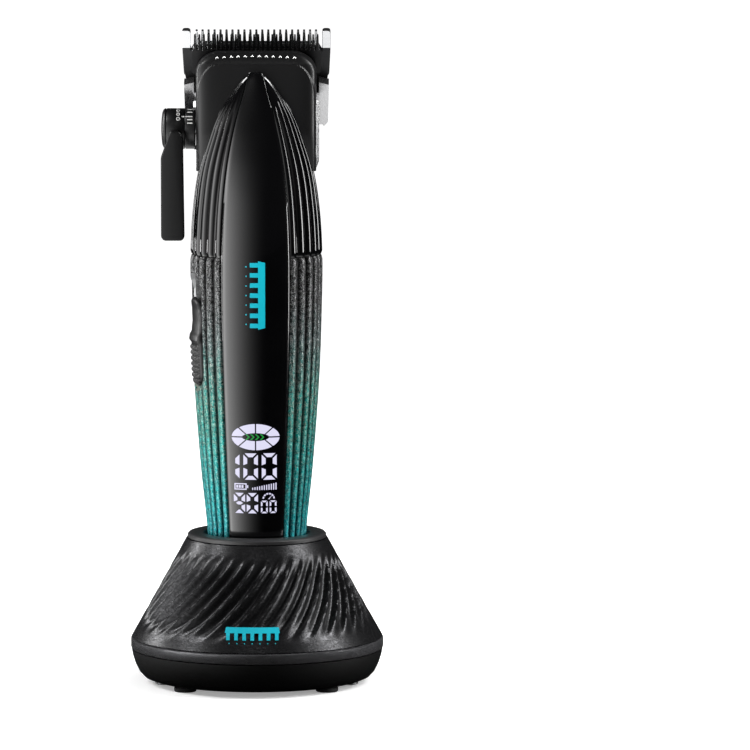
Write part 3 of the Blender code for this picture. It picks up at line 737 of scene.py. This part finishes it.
def panel_loop(z, shrink):
    _, centre, front, _, _ = body_section(z)
    edge = panel_edge(z, 1.0, 0.2 + shrink)
    thickness = min(PANEL_THICKNESS, 0.35 * (centre - front))
    outside = []
    steps = 36
    for i in range(steps + 1):
        angle = edge * (2 * i / steps - 1)
        rounding = PANEL_BEVEL * (1 - min((1 - abs(2 * i / steps - 1)) * steps / 5, 1.0)) ** 2
        outside.append(body_point(z, angle, 1.0, rounding + shrink * 0.5))
    return outside + [(x * 0.98, y + thickness, z) for x, y, z in reversed(outside)]


panel_heights = [PANEL_BOTTOM + (PANEL_TOP - 0.6 - PANEL_BOTTOM) * i / 90 for i in range(91)]
panel_loops = [panel_loop(PANEL_BOTTOM - 0.2, 0.5)]
panel_loops += [panel_loop(z, 0.0) for z in panel_heights] + [panel_loop(PANEL_TOP, 0.2)]
seat("tinted_centre_panel", loft(panel_loops), tinted, "clipper", "display_window",
     "display_panel", sharp=60.0)


def lit(name, hex_colour, strength):
    """A display segment: a diffuser lit from behind, evenly bright."""
    made, _, shader = material(name, "#141418", 0.4)
    shader.inputs["Emission Color"].default_value = linear(hex_colour)
    shader.inputs["Emission Strength"].default_value = strength
    return made


lit_white = lit("lit_white_diffuser", "#e4e2fa", 0.95)
lit_violet = lit("lit_violet_halo", "#3a3394", 0.6)
lit_green = lit("lit_green_diffuser", "#0f9a38", 0.9)
print_teal = grained("teal_pad_print", "#02b9cd", 0.5, (0.15, 0.004, 0.3, 0.42))


def panel_surface(x, z):
    half_width, centre, front, _, _ = body_section(z)
    return centre - (centre - front) * math.sqrt(max(1 - (x / half_width) ** 2, 0.0))


def cone_surface(x, z):
    share = (SHELL_TOP[1] - z) / (SHELL_TOP[1] - SHELL_FOOT[1])
    radius = SHELL_TOP[0] + (SHELL_FOOT[0] - SHELL_TOP[0]) * share
    return -math.sqrt(radius * radius - x * x)


def laid_on(name, polygons, surface, look, body, slot, lift=0.04, thick=0.05):
    """Thin closed patches drawn as flat (x, z) polygons and laid on a curved surface."""
    bm = bmesh.new()
    for polygon in polygons:
        bm.faces.new([bm.verts.new((x, 0.0, z)) for x, z in polygon])
    for axis, normal in ((0, (1, 0, 0)), (2, (0, 0, 1))):
        values = [v.co[axis] for v in bm.verts]
        cut_at = math.floor(min(values)) + 1.0
        while cut_at < max(values):
            point = [0.0, 0.0, 0.0]
            point[axis] = cut_at
            bmesh.ops.bisect_plane(bm, geom=bm.verts[:] + bm.edges[:] + bm.faces[:],
                                   plane_co=point, plane_no=normal)
            cut_at += 1.0
    bmesh.ops.recalc_face_normals(bm, faces=bm.faces)
    top = bm.faces[:]
    drawn_up = bmesh.ops.extrude_face_region(bm, geom=top)["geom"]
    raised = {v for v in drawn_up if isinstance(v, bmesh.types.BMVert)}
    for vertex in bm.verts:
        rise = lift if vertex in raised else lift - thick
        vertex.co.y = surface(vertex.co.x, vertex.co.z) - rise
    return seat(name, bm, look, body, slot, sharp=60.0)


def shifted(polygons, x, z, scale=1.0, upright=False):
    """Move, scale and if asked quarter-turn a list of polygons."""
    moved = []
    for polygon in polygons:
        if upright:
            polygon = [(b, -a) for a, b in polygon]
        moved.append([(x + a * scale, z + b * scale) for a, b in polygon])
    return moved


def digit(x, z, width, height, bar, lit_bars, gap=0.85):
    """Seven-segment figure with mitred bars; lit_bars names them a to g as usual."""
    w, h, t, g = width, height, bar, gap / 2
    half = h / 2
    upright_left = [(0, g), (t, t + g), (t, half - t * 0.75), (0, half - g)]
    bars = {
        "a": [(g, h), (w - g, h), (w - t - g, h - t), (t + g, h - t)],
        "d": [(g, 0), (t + g, t), (w - t - g, t), (w - g, 0)],
        "g": [(t * 0.6, half), (t * 1.2, half + t * 0.45), (w - t * 1.2, half + t * 0.45),
              (w - t * 0.6, half), (w - t * 1.2, half - t * 0.45), (t * 1.2, half - t * 0.45)],
        "e": upright_left,
        "f": [(a, h - b) for a, b in reversed(upright_left)],
        "c": [(w - a, b) for a, b in reversed(upright_left)],
        "b": [(w - a, h - b) for a, b in upright_left],
    }
    return shifted([bars[name] for name in lit_bars], x, z)


def ellipse_point(half_width, half_height, angle):
    return (half_width * math.cos(angle), half_height * math.sin(angle))


def ring_segments(x, z, outer, inner, count, gap):
    """An oval ring split into lit segments, with gaps of even width between them."""
    polygons = []
    for i in range(count):
        sides = []
        for rim in (outer, inner):
            turns = []
            for end, way in ((i, 1), (i + 1, -1)):
                turn = math.tau * end / count
                reach = math.hypot(rim[0] * math.sin(turn), rim[1] * math.cos(turn))
                turns.append(turn + way * gap / 2 / max(reach, 0.1))
            sides.append([ellipse_point(*rim, turns[0] + (turns[1] - turns[0]) * k / 6)
                          for k in range(7)])
        polygons.append(sides[0] + sides[1][::-1])
    return shifted(polygons, x, z)


def oblong(left, low, right, high):
    return [(left, low), (right, low), (right, high), (left, high)]


DISPLAY_X = -0.1
DISPLAY_LIFT = 2.2
white = ring_segments(DISPLAY_X, 76.5, (7.4, 4.1), (4.2, 1.25), 8, 0.42)
white += digit(-9.6, 63.1, 4.5, 8.3, 1.3, "bc")
white += digit(-3.9, 63.1, 4.5, 8.3, 1.2, "abcdef") + digit(1.8, 63.1, 4.6, 8.3, 1.2, "abcdef")
white += digit(-6.9, 52.5, 3.5, 6.4, 1.1, "abcdfg") + digit(-2.9, 52.5, 3.5, 6.4, 1.1, "abcdef")
for x in (1.5, 4.2):
    white += digit(x, 52.5, 2.1, 4.0, 0.5, "abcdef", 0.4)
battery = [oblong(-6.7, 59.9, -2.9, 60.25), oblong(-6.7, 61.6, -2.9, 61.95),
           oblong(-6.7, 60.25, -6.35, 61.6), oblong(-3.25, 60.25, -2.9, 61.6),
           oblong(-2.8, 60.5, -2.4, 61.35)]
battery += [oblong(x, 60.5, x + 0.6, 61.35) for x in (-6.1, -5.3, -4.5)]
ticks = [oblong(x, 59.9, x + 0.34, 59.9 + tall)
         for x, tall in ((-1.2 + 0.72 * i, 0.7 + 0.145 * i) for i in range(11))]
white += battery + ticks
gauge = ring_segments(3.9, 57.0, (1.9, 1.9), (1.45, 1.45), 12, 0.25)[:6]
gauge += [[(3.75, 57.0), (4.1, 56.9), (5.0, 58.2)]]
white += gauge
white = shifted(white, 0.0, DISPLAY_LIFT)
laid_on("display_white_segments", white, panel_surface, lit_white, "clipper", "display_glass",
        lift=0.06)


def grown(polygons, amount):
    """The same polygons a little larger, for the violet halo round each lit segment."""
    larger = []
    for polygon in polygons:
        cx = sum(x for x, _ in polygon) / len(polygon)
        cz = sum(z for _, z in polygon) / len(polygon)
        larger.append([(x + math.copysign(amount, x - cx), z + math.copysign(amount, z - cz))
                       for x, z in polygon])
    return larger


laid_on("display_segment_halo", grown(white, 0.03), panel_surface, lit_violet, "clipper",
        "display_glass", lift=0.03)

arrow = [(-0.9, -1.0), (0.1, 0.0), (-0.9, 1.0), (-0.3, 1.0), (0.7, 0.0), (-0.3, -1.0)]
arrow_pair = [arrow[:2] + arrow[4:], [arrow[1], arrow[2], arrow[3], arrow[4]]]
green = []
for step in (-2.4, -0.9, 0.6, 2.1):
    green += shifted(arrow_pair, DISPLAY_X + step, 76.5 + DISPLAY_LIFT, 0.9)
laid_on("display_green_arrows", green, panel_surface, lit_green, "clipper", "display_glass",
        lift=0.06)

comb_mark = [[(-10.6, 0.2), (10.6, 0.2), (10.1, 2.35), (-10.1, 2.35)]]
comb_mark += [oblong(x - 0.7, -2.35, x + 0.7, 0.2)
              for x in (3.13 * i for i in range(-3, 4))]
DOTS = [[(2.97 * i + 0.22 * math.cos(a), -3.5 + 0.22 * math.sin(a))
         for a in (math.tau * k / 8 for k in range(8))] for i in range(-3, 4)]
laid_on("teal_comb_mark", shifted(comb_mark, 0.6, 122.8, 1.0, upright=True)
        + shifted(DOTS, 0.6, 122.8, 1.0, upright=True), panel_surface, print_teal, "clipper",
        "display_window")
laid_on("teal_dock_mark", shifted(comb_mark + DOTS, -0.9, 20.0, 0.8), cone_surface, print_teal,
        "dock", "flecked_black_abs", lift=0.06)


# ------------------------------------------------------------------ power switch
# A sliding switch runs in a round-ended track on the user's left. It is satin ABS with a
# dished thumb rest above, a ridge in the middle and moulded grip dots below.

satin_black = grained("satin_black_abs", "#070708", 0.38, (0.18, 0.006, 0.34, 0.44), IOR=1.42)

track = loft([[body_point(z, angle, scale) for angle, z in
               stadium(91.8, 128.7, SWITCH_SPREAD + math.radians(1.8))]
              for scale in (0.865, 0.915, 0.925)])
track.loops.layers.uv.new("groove_depth")
seat("switch_track", map_round(track, 18.0), crackle, "clipper", "black_abs", "switch_base",
     sharp=30.0)

SWITCH_LOW, SWITCH_HIGH = 93.0, 121.0
SWITCH_STATIONS = ((93.0, 0.000), (95.0, 0.022), (105.0, 0.024), (106.4, 0.030),
                   (107.6, 0.062), (108.6, 0.055), (110.5, 0.016), (113.5, 0.002),
                   (117.0, 0.004), (119.5, 0.016), (121.0, 0.008))


def switch_rise(z):
    """Height of the slider's face over the body, as a share of the body's radius."""
    for (low, a), (high, b) in zip(SWITCH_STATIONS, SWITCH_STATIONS[1:]):
        if z <= high:
            return a + (b - a) * smooth_step(z, low, high)
    return SWITCH_STATIONS[-1][1]


def grip_dot(angle, z):
    """Moulded dots, four across and seven high, on the lower part."""
    row = (z - 94.6) / 1.75
    column = (angle - SWITCH_ANGLE) / math.radians(7.4) + 1.5
    if not (-0.5 < row < 6.5 and -0.5 < column < 3.5):
        return 0.0
    aside = ((row - round(row)) * 1.75) ** 2 + ((column - round(column)) * 2.5) ** 2
    return 0.55 * math.sqrt(max(0.0, 1 - aside / 0.55)) / SWITCH_RADIUS


loops = []
for k in range(141):
    z = SWITCH_LOW + (SWITCH_HIGH - SWITCH_LOW) * k / 140
    end_distance = min(z - SWITCH_LOW, SWITCH_HIGH - z)
    round_mm = SWITCH_SPREAD * SWITCH_RADIUS
    inside = max(round_mm - end_distance, 0.0)
    spread = SWITCH_SPREAD * math.sqrt(max(1 - (inside / round_mm) ** 2, 0.004))
    outside = []
    for i in range(65):
        share = 2 * i / 64 - 1
        angle = SWITCH_ANGLE + spread * share
        edge_mm = (1 - abs(share)) * spread * SWITCH_RADIUS
        edge_mm = min(edge_mm, end_distance)
        round_off = 0.045 * (1 - min(edge_mm / 1.1, 1.0)) ** 2
        face = 0.985 + switch_rise(z) - round_off + grip_dot(angle, z)
        outside.append(body_point(z, angle, max(face, 0.957)))
    under = [body_point(z, SWITCH_ANGLE + spread * (1 - 2 * i / 64), 0.955) for i in range(65)]
    loops.append(outside + under)
seat("sliding_switch", loft(loops), satin_black, "power_switch", "black_abs", "power_switch",
     sharp=60.0)


# ------------------------------------------------------------------ hood of the head
# The hood is one satin black ABS moulding round the drive: front wall, side walls and a roof.
# A fine step runs inside its edge, and twelve small bright studs follow its top.

HOOD_BAND = 3.7
HOOD_LEAN = 1.5


def hood_inner_half(z):
    """Half-width of the raised inner plate of the hood's face."""
    drop = HOOD_TOP - HOOD_BAND - z
    if drop < 0:
        return -1.0
    lift = math.sqrt(max(1 - (1 - min(drop / 10.5, 1.0)) ** 2, 0.0))
    return HOOD_HALF_WIDTH - 0.55 - 6.5 * (1 - lift)


def pressed_hood(z):
    """Section of the hood: a raised inner plate, and a band that leans back above it."""
    stepped = []
    lean = HOOD_LEAN * max(0.0, 1 - (HOOD_TOP - z) / HOOD_BAND) ** 1.3
    for x, y, height in hood_loop(z, 0.0, 9.0, 200):
        outside = smooth_step(abs(x) - hood_inner_half(z), -0.1, 0.25)
        stepped.append((x, y + (0.4 * outside + lean if y < 0 else 0.0), height))
    return stepped


corner_turns = [math.radians(a) for a in range(0, 80, 4)]
hood_heights = [HOOD_BOTTOM + 31.0 * i / 60 for i in range(60)]
hood_heights += [HOOD_TOP - HOOD_CORNER + HOOD_CORNER * math.sin(a) for a in corner_turns]
hood_heights += [HOOD_TOP - HOOD_BAND + step for step in (-0.2, 0.0, 0.05)]
hood_heights.sort()


BLADE_TILT = math.radians(20.0)
BLADE_TIP = (4.0, 203.0)
LEVER_AXIS = (1.0, 172.8)
HUB_RADIUS = 6.3
along_x = Matrix.Translation((0.0, *LEVER_AXIS)) @ Matrix.Rotation(math.pi / 2, 4, "Y")


def blade_point(n, s):
    """World y and z of a point n in front of the fixed blade and s along it."""
    return (BLADE_TIP[0] - n * math.cos(BLADE_TILT) - s * math.sin(BLADE_TILT),
            BLADE_TIP[1] - n * math.sin(BLADE_TILT) + s * math.cos(BLADE_TILT))


hollow_loops = []
for z in (155.0, 175.0, 191.0, 192.8, 194.6, 195.9, 196.5):
    drop = 1.8 if z > 190.0 else 0.0
    hollow_loops.append([(x, y, z - drop) for x, y, _ in hood_loop(z, -1.8, 25.0)])
behind = [(0.0, 150.0), (0.0, 181.8), (6.0, 181.8), blade_point(5.4, -14.6),
          blade_point(2.8, -14.6), blade_point(2.8, 4.0), (40.0, 210.0), (40.0, 150.0)]
behind_hood = loft([[(x, y, z) for y, z in behind] for x in (-40.0, 40.0)])
bore = turned([(0.0, -24.0), (2.4, -24.0), (2.4, -12.0), (0.0, -12.0)], 32)
seat("satin_hood", loft([pressed_hood(z) for z in hood_heights]), satin_black, "clipper",
     "black_abs", "face_shell", sharp=32.0,
     holes=[(loft(hollow_loops), None), (behind_hood, None), (bore, along_x)])

polished = grained("polished_nickel_stud", "#8a8a89", 0.34, (0.3, 0.001, 0.28, 0.40), 1.0)
STUD_PITCH = 2.17
for i in range(12):
    x = (i - 5.5) * STUD_PITCH
    z = 195.5 - 0.0030 * x * x
    lean = HOOD_LEAN * max(0.0, 1 - (HOOD_TOP - z) / HOOD_BAND) ** 1.3
    depth = hood_front(z) * (1 - (abs(x) / hood_half_width(z)) ** 8) ** 0.125 + 0.4 + lean
    diamond = [(0.0, 0.58), (0.54, 0.0), (0.0, -0.58), (-0.54, 0.0)]
    loops = [[(x + a * share, depth - rise, z + b * share) for a, b in diamond]
             for share, rise in ((1.0, -0.3), (1.0, 0.02), (0.62, 0.16), (0.45, 0.02))]
    seat(f"hood_stud_{i + 1}", loft(loops), polished, "clipper", "ground_steel", sharp=20.0)


# ------------------------------------------------------------------ rear cover
# Die-cast zinc with a satin nickel plate, curved round the back of the head. It is cut away
# at the top for the blade and at the side for the boss of the lever.

satin_nickel = grained("satin_nickel_on_zinc", "#b4b4b5", 0.28,
                       (0.35, 0.004, 0.22, 0.34, (1.0, 1.0, 0.08)), 1.0)
COVER_HALF_WIDTH, COVER_REAR, COVER_TOP = 19.6, 17.0, 181.5


def cover_loop(z, half_width, rear):
    rounds = []
    for scale, start in ((1.0, 95.0), (0.91, 91.5)):
        angles = [math.radians(start + (360.0 - 2 * start) * i / 80) for i in range(81)]
        rounds.append([(scale * half_width * math.sin(a), -scale * rear * math.cos(a), z)
                       for a in angles])
    return rounds[0] + rounds[1][::-1]


cover_levels = ((160.4, 18.5, 16.2), (160.7, 18.8, 16.5), (162.6, 19.5, 17.0),
                (164.0, COVER_HALF_WIDTH, COVER_REAR), (COVER_TOP - 0.5, COVER_HALF_WIDTH,
                                                        COVER_REAR),
                (COVER_TOP, COVER_HALF_WIDTH - 0.4, COVER_REAR - 0.4))


def box_mesh(low, high):
    (x0, y0, z0), (x1, y1, z1) = low, high
    return loft([[(x0, y0, z), (x1, y0, z), (x1, y1, z), (x0, y1, z)] for z in (z0, z1)])


blade_place = Matrix.Translation((0.0, *BLADE_TIP)) @ Matrix.Rotation(BLADE_TILT, 4, "X")
blade_space = box_mesh((-30, -5.8, -31.5), (30, 15, 12))
boss_space = turned([(0.0, -26.0), (HUB_RADIUS + 0.3, -26.0), (HUB_RADIUS + 0.3, -17.0),
                     (0.0, -17.0)], 64)
seat("nickel_rear_cover", loft([cover_loop(*level) for level in cover_levels]), satin_nickel,
     "clipper", "silver_zinc", "rear_cover", sharp=32.0,
     holes=[(blade_space, blade_place), (boss_space, along_x)])


# ------------------------------------------------------------------ blade set
# The fixed blade is hardened steel, ground bright at its teeth and end blocks, and black below
# them. On its tip faces the black is painted shade. The cutter in front is coated black, with the
# sides of its teeth ground bright. A plated bracket holds both to the head with two screws.

def ground_steel(name, hex_colour, low_rough, high_rough, metallic=1.0):
    """Steel ground along X: long fine lines, with the sheen drawn out across them."""
    return grained(name, hex_colour, high_rough,
                   (0.22, 0.004, low_rough, high_rough, (0.03, 1.0, 1.0)), metallic,
                   Anisotropic=0.4)


bright_steel = ground_steel("ground_hardened_steel", "#c4c5c6", 0.14, 0.26)
black_oxide_and_tip_shade = ground_steel("black_oxide_and_tip_shade_steel", "#2c2c2d", 0.34, 0.48, 0.8)
black_coat = ground_steel("black_carbide_coating", "#161617", 0.30, 0.42, 0.6)
HALF_WIDTH = 23.0


def comb(teeth, pitch, tooth_width, tip_width, root, tip, body):
    outline = []
    for i in range(teeth):
        x = (i - (teeth - 1) / 2) * pitch
        outline += [(x - tooth_width / 2, root), (x - tip_width / 2, tip),
                    (x + tip_width / 2, tip), (x + tooth_width / 2, root)]
    return outline + body


def ease_edges(bm, width, angle=30.0, segments=2):
    """Break the sharp edges of a mesh, as grinding or tumbling does."""
    bmesh.ops.recalc_face_normals(bm, faces=bm.faces)
    edges = [e for e in bm.edges if len(e.link_faces) == 2
             and math.degrees(e.calc_face_angle()) > angle]
    bmesh.ops.bevel(bm, geom=edges, offset=width, segments=segments, affect="EDGES",
                    clamp_overlap=True, profile=0.5)
    return bm


def plate(outline, front, back):
    """A flat outline in blade coordinates (x, s) given depth from n=front to n=back."""
    return loft([[(x, -n, s) for x, s in outline] for n in (front, back)])


SCREW_LINE = -21.5
SCREW_X = 17.0


def screw_stand(x):
    """A piece turned round Z stands square to the blade, with +Z towards the front."""
    return (Matrix.Translation((x, *blade_point(0.0, SCREW_LINE)))
            @ Matrix.Rotation(BLADE_TILT + math.pi / 2, 4, "X"))


def screw_holes():
    return [(turned([(0.0, -8.0), (1.6, -8.0), (1.6, 8.0), (0.0, 8.0)], 32), screw_stand(x))
            for x in (-SCREW_X, SCREW_X)]


right = soften([(20.4, -5.9), (20.4, 0.0), (HALF_WIDTH, 0.0), (HALF_WIDTH, -6.3),
                (HALF_WIDTH - 0.4, -14.8), (22.1, -15.3), (21.6, -28.0), (18.4, -29.0)],
               0.9, 3)
left = [(-x, s) for x, s in reversed(right)]
fixed_mesh = plate(comb(21, 1.85, 1.05, 0.68, -4.4, -0.1, right + left), 0.0, -2.2)
for vertex in fixed_mesh.verts:
    if abs(vertex.co.x) < 20.2 and vertex.co.z > -3.0 and vertex.co.y > 1.0:
        vertex.co.y = 1.3
ease_edges(fixed_mesh, 0.30)
bmesh.ops.bisect_plane(fixed_mesh, geom=fixed_mesh.verts[:] + fixed_mesh.edges[:]
                       + fixed_mesh.faces[:], plane_co=(0, 0, -5.85), plane_no=(0, 0, 1))
fixed = seat("toothed_fixed_blade", fixed_mesh, bright_steel, "clipper",
             "ground_steel", "fixed_blade", sharp=12.0, place=blade_place,
             holes=screw_holes())
fixed.data.materials.append(black_oxide_and_tip_shade)
for face in fixed.data.polygons:
    low_on_blade = face.center.z < blade_point(0.0, -5.7)[1] * MM
    # Tip faces take the dark steel as painted shade.
    shaded_tip_face = abs(face.center.x) < 20.2 * MM and face.normal.z > 0.75
    if low_on_blade or shaded_tip_face:
        face.material_index = 1

CUTTER_HALF_WIDTH = 19.9
cutter_body = soften([(CUTTER_HALF_WIDTH, -5.7), (CUTTER_HALF_WIDTH, -13.5),
                      (-CUTTER_HALF_WIDTH, -13.5), (-CUTTER_HALF_WIDTH, -5.7)], 0.5, 2)
cutter_outline = comb(28, 1.41, 0.86, 0.52, -5.7, -1.1, cutter_body)
cutter = seat("black_cutter", ease_edges(plate(cutter_outline, 2.3, 0.3), 0.24), black_coat,
              "cutter", "black_steel", "cutter_blade", sharp=12.0, place=blade_place)
cutter.data.materials.append(bright_steel)
TOOTH_ROOT_Z = blade_point(2.3, -5.6)[1] * MM
for face in cutter.data.polygons:
    if face.center.z > TOOTH_ROOT_Z and abs(face.normal.x) > 0.3:
        face.material_index = 1

rail = [(14.0, -18.9), (19.4, -18.9), (19.4, -15.4)]
rail += soften([(22.5, -15.4), (22.2, -29.0), (20.6, -30.5)], 0.8, 3)
outline = rail + [(-x, s) for x, s in reversed(rail)] + [(-14.0, -27.8), (14.0, -27.8)]
seat("plated_blade_bracket", ease_edges(plate(outline, 5.0, 0.3), 1.0, 40.0, 4), satin_nickel,
     "clipper", "silver_zinc", "blade_bracket", sharp=12.0, place=blade_place,
     holes=screw_holes())
screw = [(0.0, -3.2), (0.5, -3.25), (0.8, -3.66), (2.0, -3.7), (2.4, -3.4), (2.4, -2.6),
         (1.2, -2.6), (1.2, 4.0), (0.0, 4.0)]
for side, x in (("left", -SCREW_X), ("right", SCREW_X)):
    seat(f"blade_set_screw_{side}", turned(screw, 40), bright_steel, "clipper",
         "ground_steel", f"blade_screw_{side}", sharp=30.0, place=screw_stand(x))


# ------------------------------------------------------------------ taper lever
# A satin ABS hub turns on a fixed boss at the side of the head and carries the thumb arm.
# White printed marks on the boss and the hub show how far the blade is set.

def lever_part(name, profile, body, *nodes):
    return seat(name, turned(profile, 96), satin_black, body, "black_abs", *nodes,
                sharp=35.0, place=along_x)


lever_part("fixed_lever_boss", [(2.3, -18.9), (6.1, -18.9), (HUB_RADIUS, -19.1),
                                (HUB_RADIUS, -21.8), (6.2, -21.95), (2.3, -21.95)],
           "clipper", "lever_boss")
lever_part("turning_hub", [(0.0, -22.1), (6.2, -22.1), (HUB_RADIUS, -22.25),
                           (HUB_RADIUS, -27.5), (6.1, -27.8), (0.0, -27.8)],
           "taper_lever", "lever_hub")
lever_part("domed_hub_cap", [(0.0, -27.9), (6.25, -27.9), (6.25, -28.25), (5.9, -28.7),
                             (5.0, -29.1), (3.4, -29.3), (1.6, -29.42), (0.0, -29.45)],
           "taper_lever", "lever_cap")

print_white = grained("white_pad_print", "#e4e4e2", 0.5, (0.15, 0.004, 0.45, 0.6))


def wrapped(name, patches, body):
    """Thin printed patches on the round of the lever: (x, degrees, length, width)."""
    bm = bmesh.new()
    for x, degrees, length, width in patches:
        half_turn = math.degrees(width / 2 / HUB_RADIUS)
        corners = []
        for radius in (HUB_RADIUS - 0.04, HUB_RADIUS + 0.05):
            for turn in (-half_turn, half_turn):
                a = math.radians(degrees + turn)
                for end in (0.0, length):
                    corners.append(bm.verts.new((x + end,
                                                 LEVER_AXIS[0] - radius * math.cos(a),
                                                 LEVER_AXIS[1] + radius * math.sin(a))))
        for quad in ((0, 1, 3, 2), (4, 5, 7, 6), (0, 1, 5, 4), (2, 3, 7, 6), (0, 2, 6, 4),
                     (1, 3, 7, 5)):
            bm.faces.new([corners[i] for i in quad])
    seat(name, bm, print_white, body, "black_abs", sharp=20.0)


wrapped("boss_tick_marks", [(-21.85, 40, 2.2, 0.36)]
        + [(-21.3, turn, 1.65, 0.36) for turn in (19.5, 30, 57, 73)], "clipper")
wrapped("hub_long_mark", [(-23.0, 40, 0.85, 0.36)], "taper_lever")


def ring_figure(x, degrees, outer=0.60, inner=0.36):
    """A printed nought on the round of the hub."""
    rounds = []
    for radius, rise in ((outer, 0.05), (inner, 0.05), (inner, -0.04), (outer, -0.04)):
        ring = []
        for k in range(20):
            t = math.tau * k / 20
            a = math.radians(degrees) + radius * 1.1 * math.sin(t) / HUB_RADIUS
            ring.append((x + radius * math.cos(t),
                         LEVER_AXIS[0] - (HUB_RADIUS + rise) * math.cos(a),
                         LEVER_AXIS[1] + (HUB_RADIUS + rise) * math.sin(a)))
        rounds.append(ring)
    return loft(rounds, wrap=True)


for number, degrees in enumerate((33, 49, 66, 84), 1):
    seat(f"hub_nought_{number}", ring_figure(-24.1, degrees), print_white, "taper_lever",
         "black_abs", sharp=30.0)

ARM_FRONT = LEVER_AXIS[0] - HUB_RADIUS - 0.3
arm_outline = soften([(-26.5, 172.6), (-23.6, 172.6), (-22.5, 170.8), (-22.1, 139.7),
                      (-22.9, 138.7), (-28.5, 138.7), (-29.4, 139.7), (-29.4, 164.6)],
                     0.7, 3)
arm = ease_edges(loft([[(x, y, z) for x, z in arm_outline]
                       for y in (ARM_FRONT - 3.2, ARM_FRONT)]), 0.55, 30.0, 3)
seat("thumb_arm", arm, satin_black, "taper_lever", "black_abs", "lever_arm", sharp=25.0)


# ------------------------------------------------------------------ drive and taper linkage
# Behind the hood an eccentric on the motor shaft rocks an acetal fork side to side, and a
# ground steel cam and link set how far the cutter stands back. Spring wire presses it down.

def dress(look, *names):
    """Give modelled inner pieces their finish."""
    for name in names:
        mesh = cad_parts[name].data
        mesh.materials.clear()
        mesh.materials.append(look)


acetal = grained("natural_acetal", "#dcdcd6", 0.42, (0.3, 0.006, 0.36, 0.5), IOR=1.48,
                 Subsurface_Weight=0.08)
spring_wire = ground_steel("drawn_spring_steel", "#9c9da0", 0.2, 0.34)
dress(acetal, "drive_fork")
dress(spark_black, "taper_carriage")
dress(spring_wire, "cutter_spring", "taper_link")
dress(bright_steel, "eccentric", "lever_shaft", "taper_cam")


# ------------------------------------------------------------------ motor, battery and boards
# The motor can is deep-drawn nickel-plated steel, the cell wears a shrunk blue film, and the
# boards are glass-epoxy with a green solder mask over copper tracks.

motor_can = grained("nickel_plated_steel_can", "#b4b3ae", 0.3,
                    (0.6, 0.004, 0.22, 0.36, (1.0, 1.0, 0.05)), 1.0, Anisotropic=0.3)
cell_film = grained("shrunk_blue_film", "#123a86", 0.3,
                    (3.0, 0.08, 0.24, 0.38, (1.0, 1.0, 0.15)), IOR=1.53)
cast_iron = grained("cast_iron_weight", "#3b3a39", 0.6, (0.7, 0.06, 0.5, 0.72), 0.9)
gilt = grained("gold_plated_brass", "#d6ab55", 0.2, (0.3, 0.002, 0.15, 0.26), 1.0)

solder_mask, tree, shader = material("green_solder_mask", "#0c4a2a", 0.35, IOR=1.55)
tracks = add_node(tree, "ShaderNodeTexBrick", {
    "Vector": object_place(tree), "Color1": linear("#0c4a2a"), "Color2": linear("#0e5531"),
    "Mortar": linear("#2c7a45"), "Scale": 1 / (8.0 * MM), "Mortar Size": 0.03,
    "Brick Width": 0.5, "Row Height": 0.25})
feed(tree, shader, Base_Color=tracks.outputs["Color"],
     Normal=bumped(tree, tracks.outputs["Fac"], 0.035))

dress(motor_can, "motor")
dress(cell_film, "battery_cell")
dress(cast_iron, "dock_weight")
dress(solder_mask, "main_board", "dock_board")
dress(tinted, "display_module")
dress(gilt, "charge_pin_left", "charge_pin_right", "charging_contact_left",
      "charging_contact_right")
dress(plated, "dock_inlet", "power_jack")
dress(spark_black, "dock_seat_cup", "contact_block", "battery_cradle", "motor_mount",
      "bottom_cap")
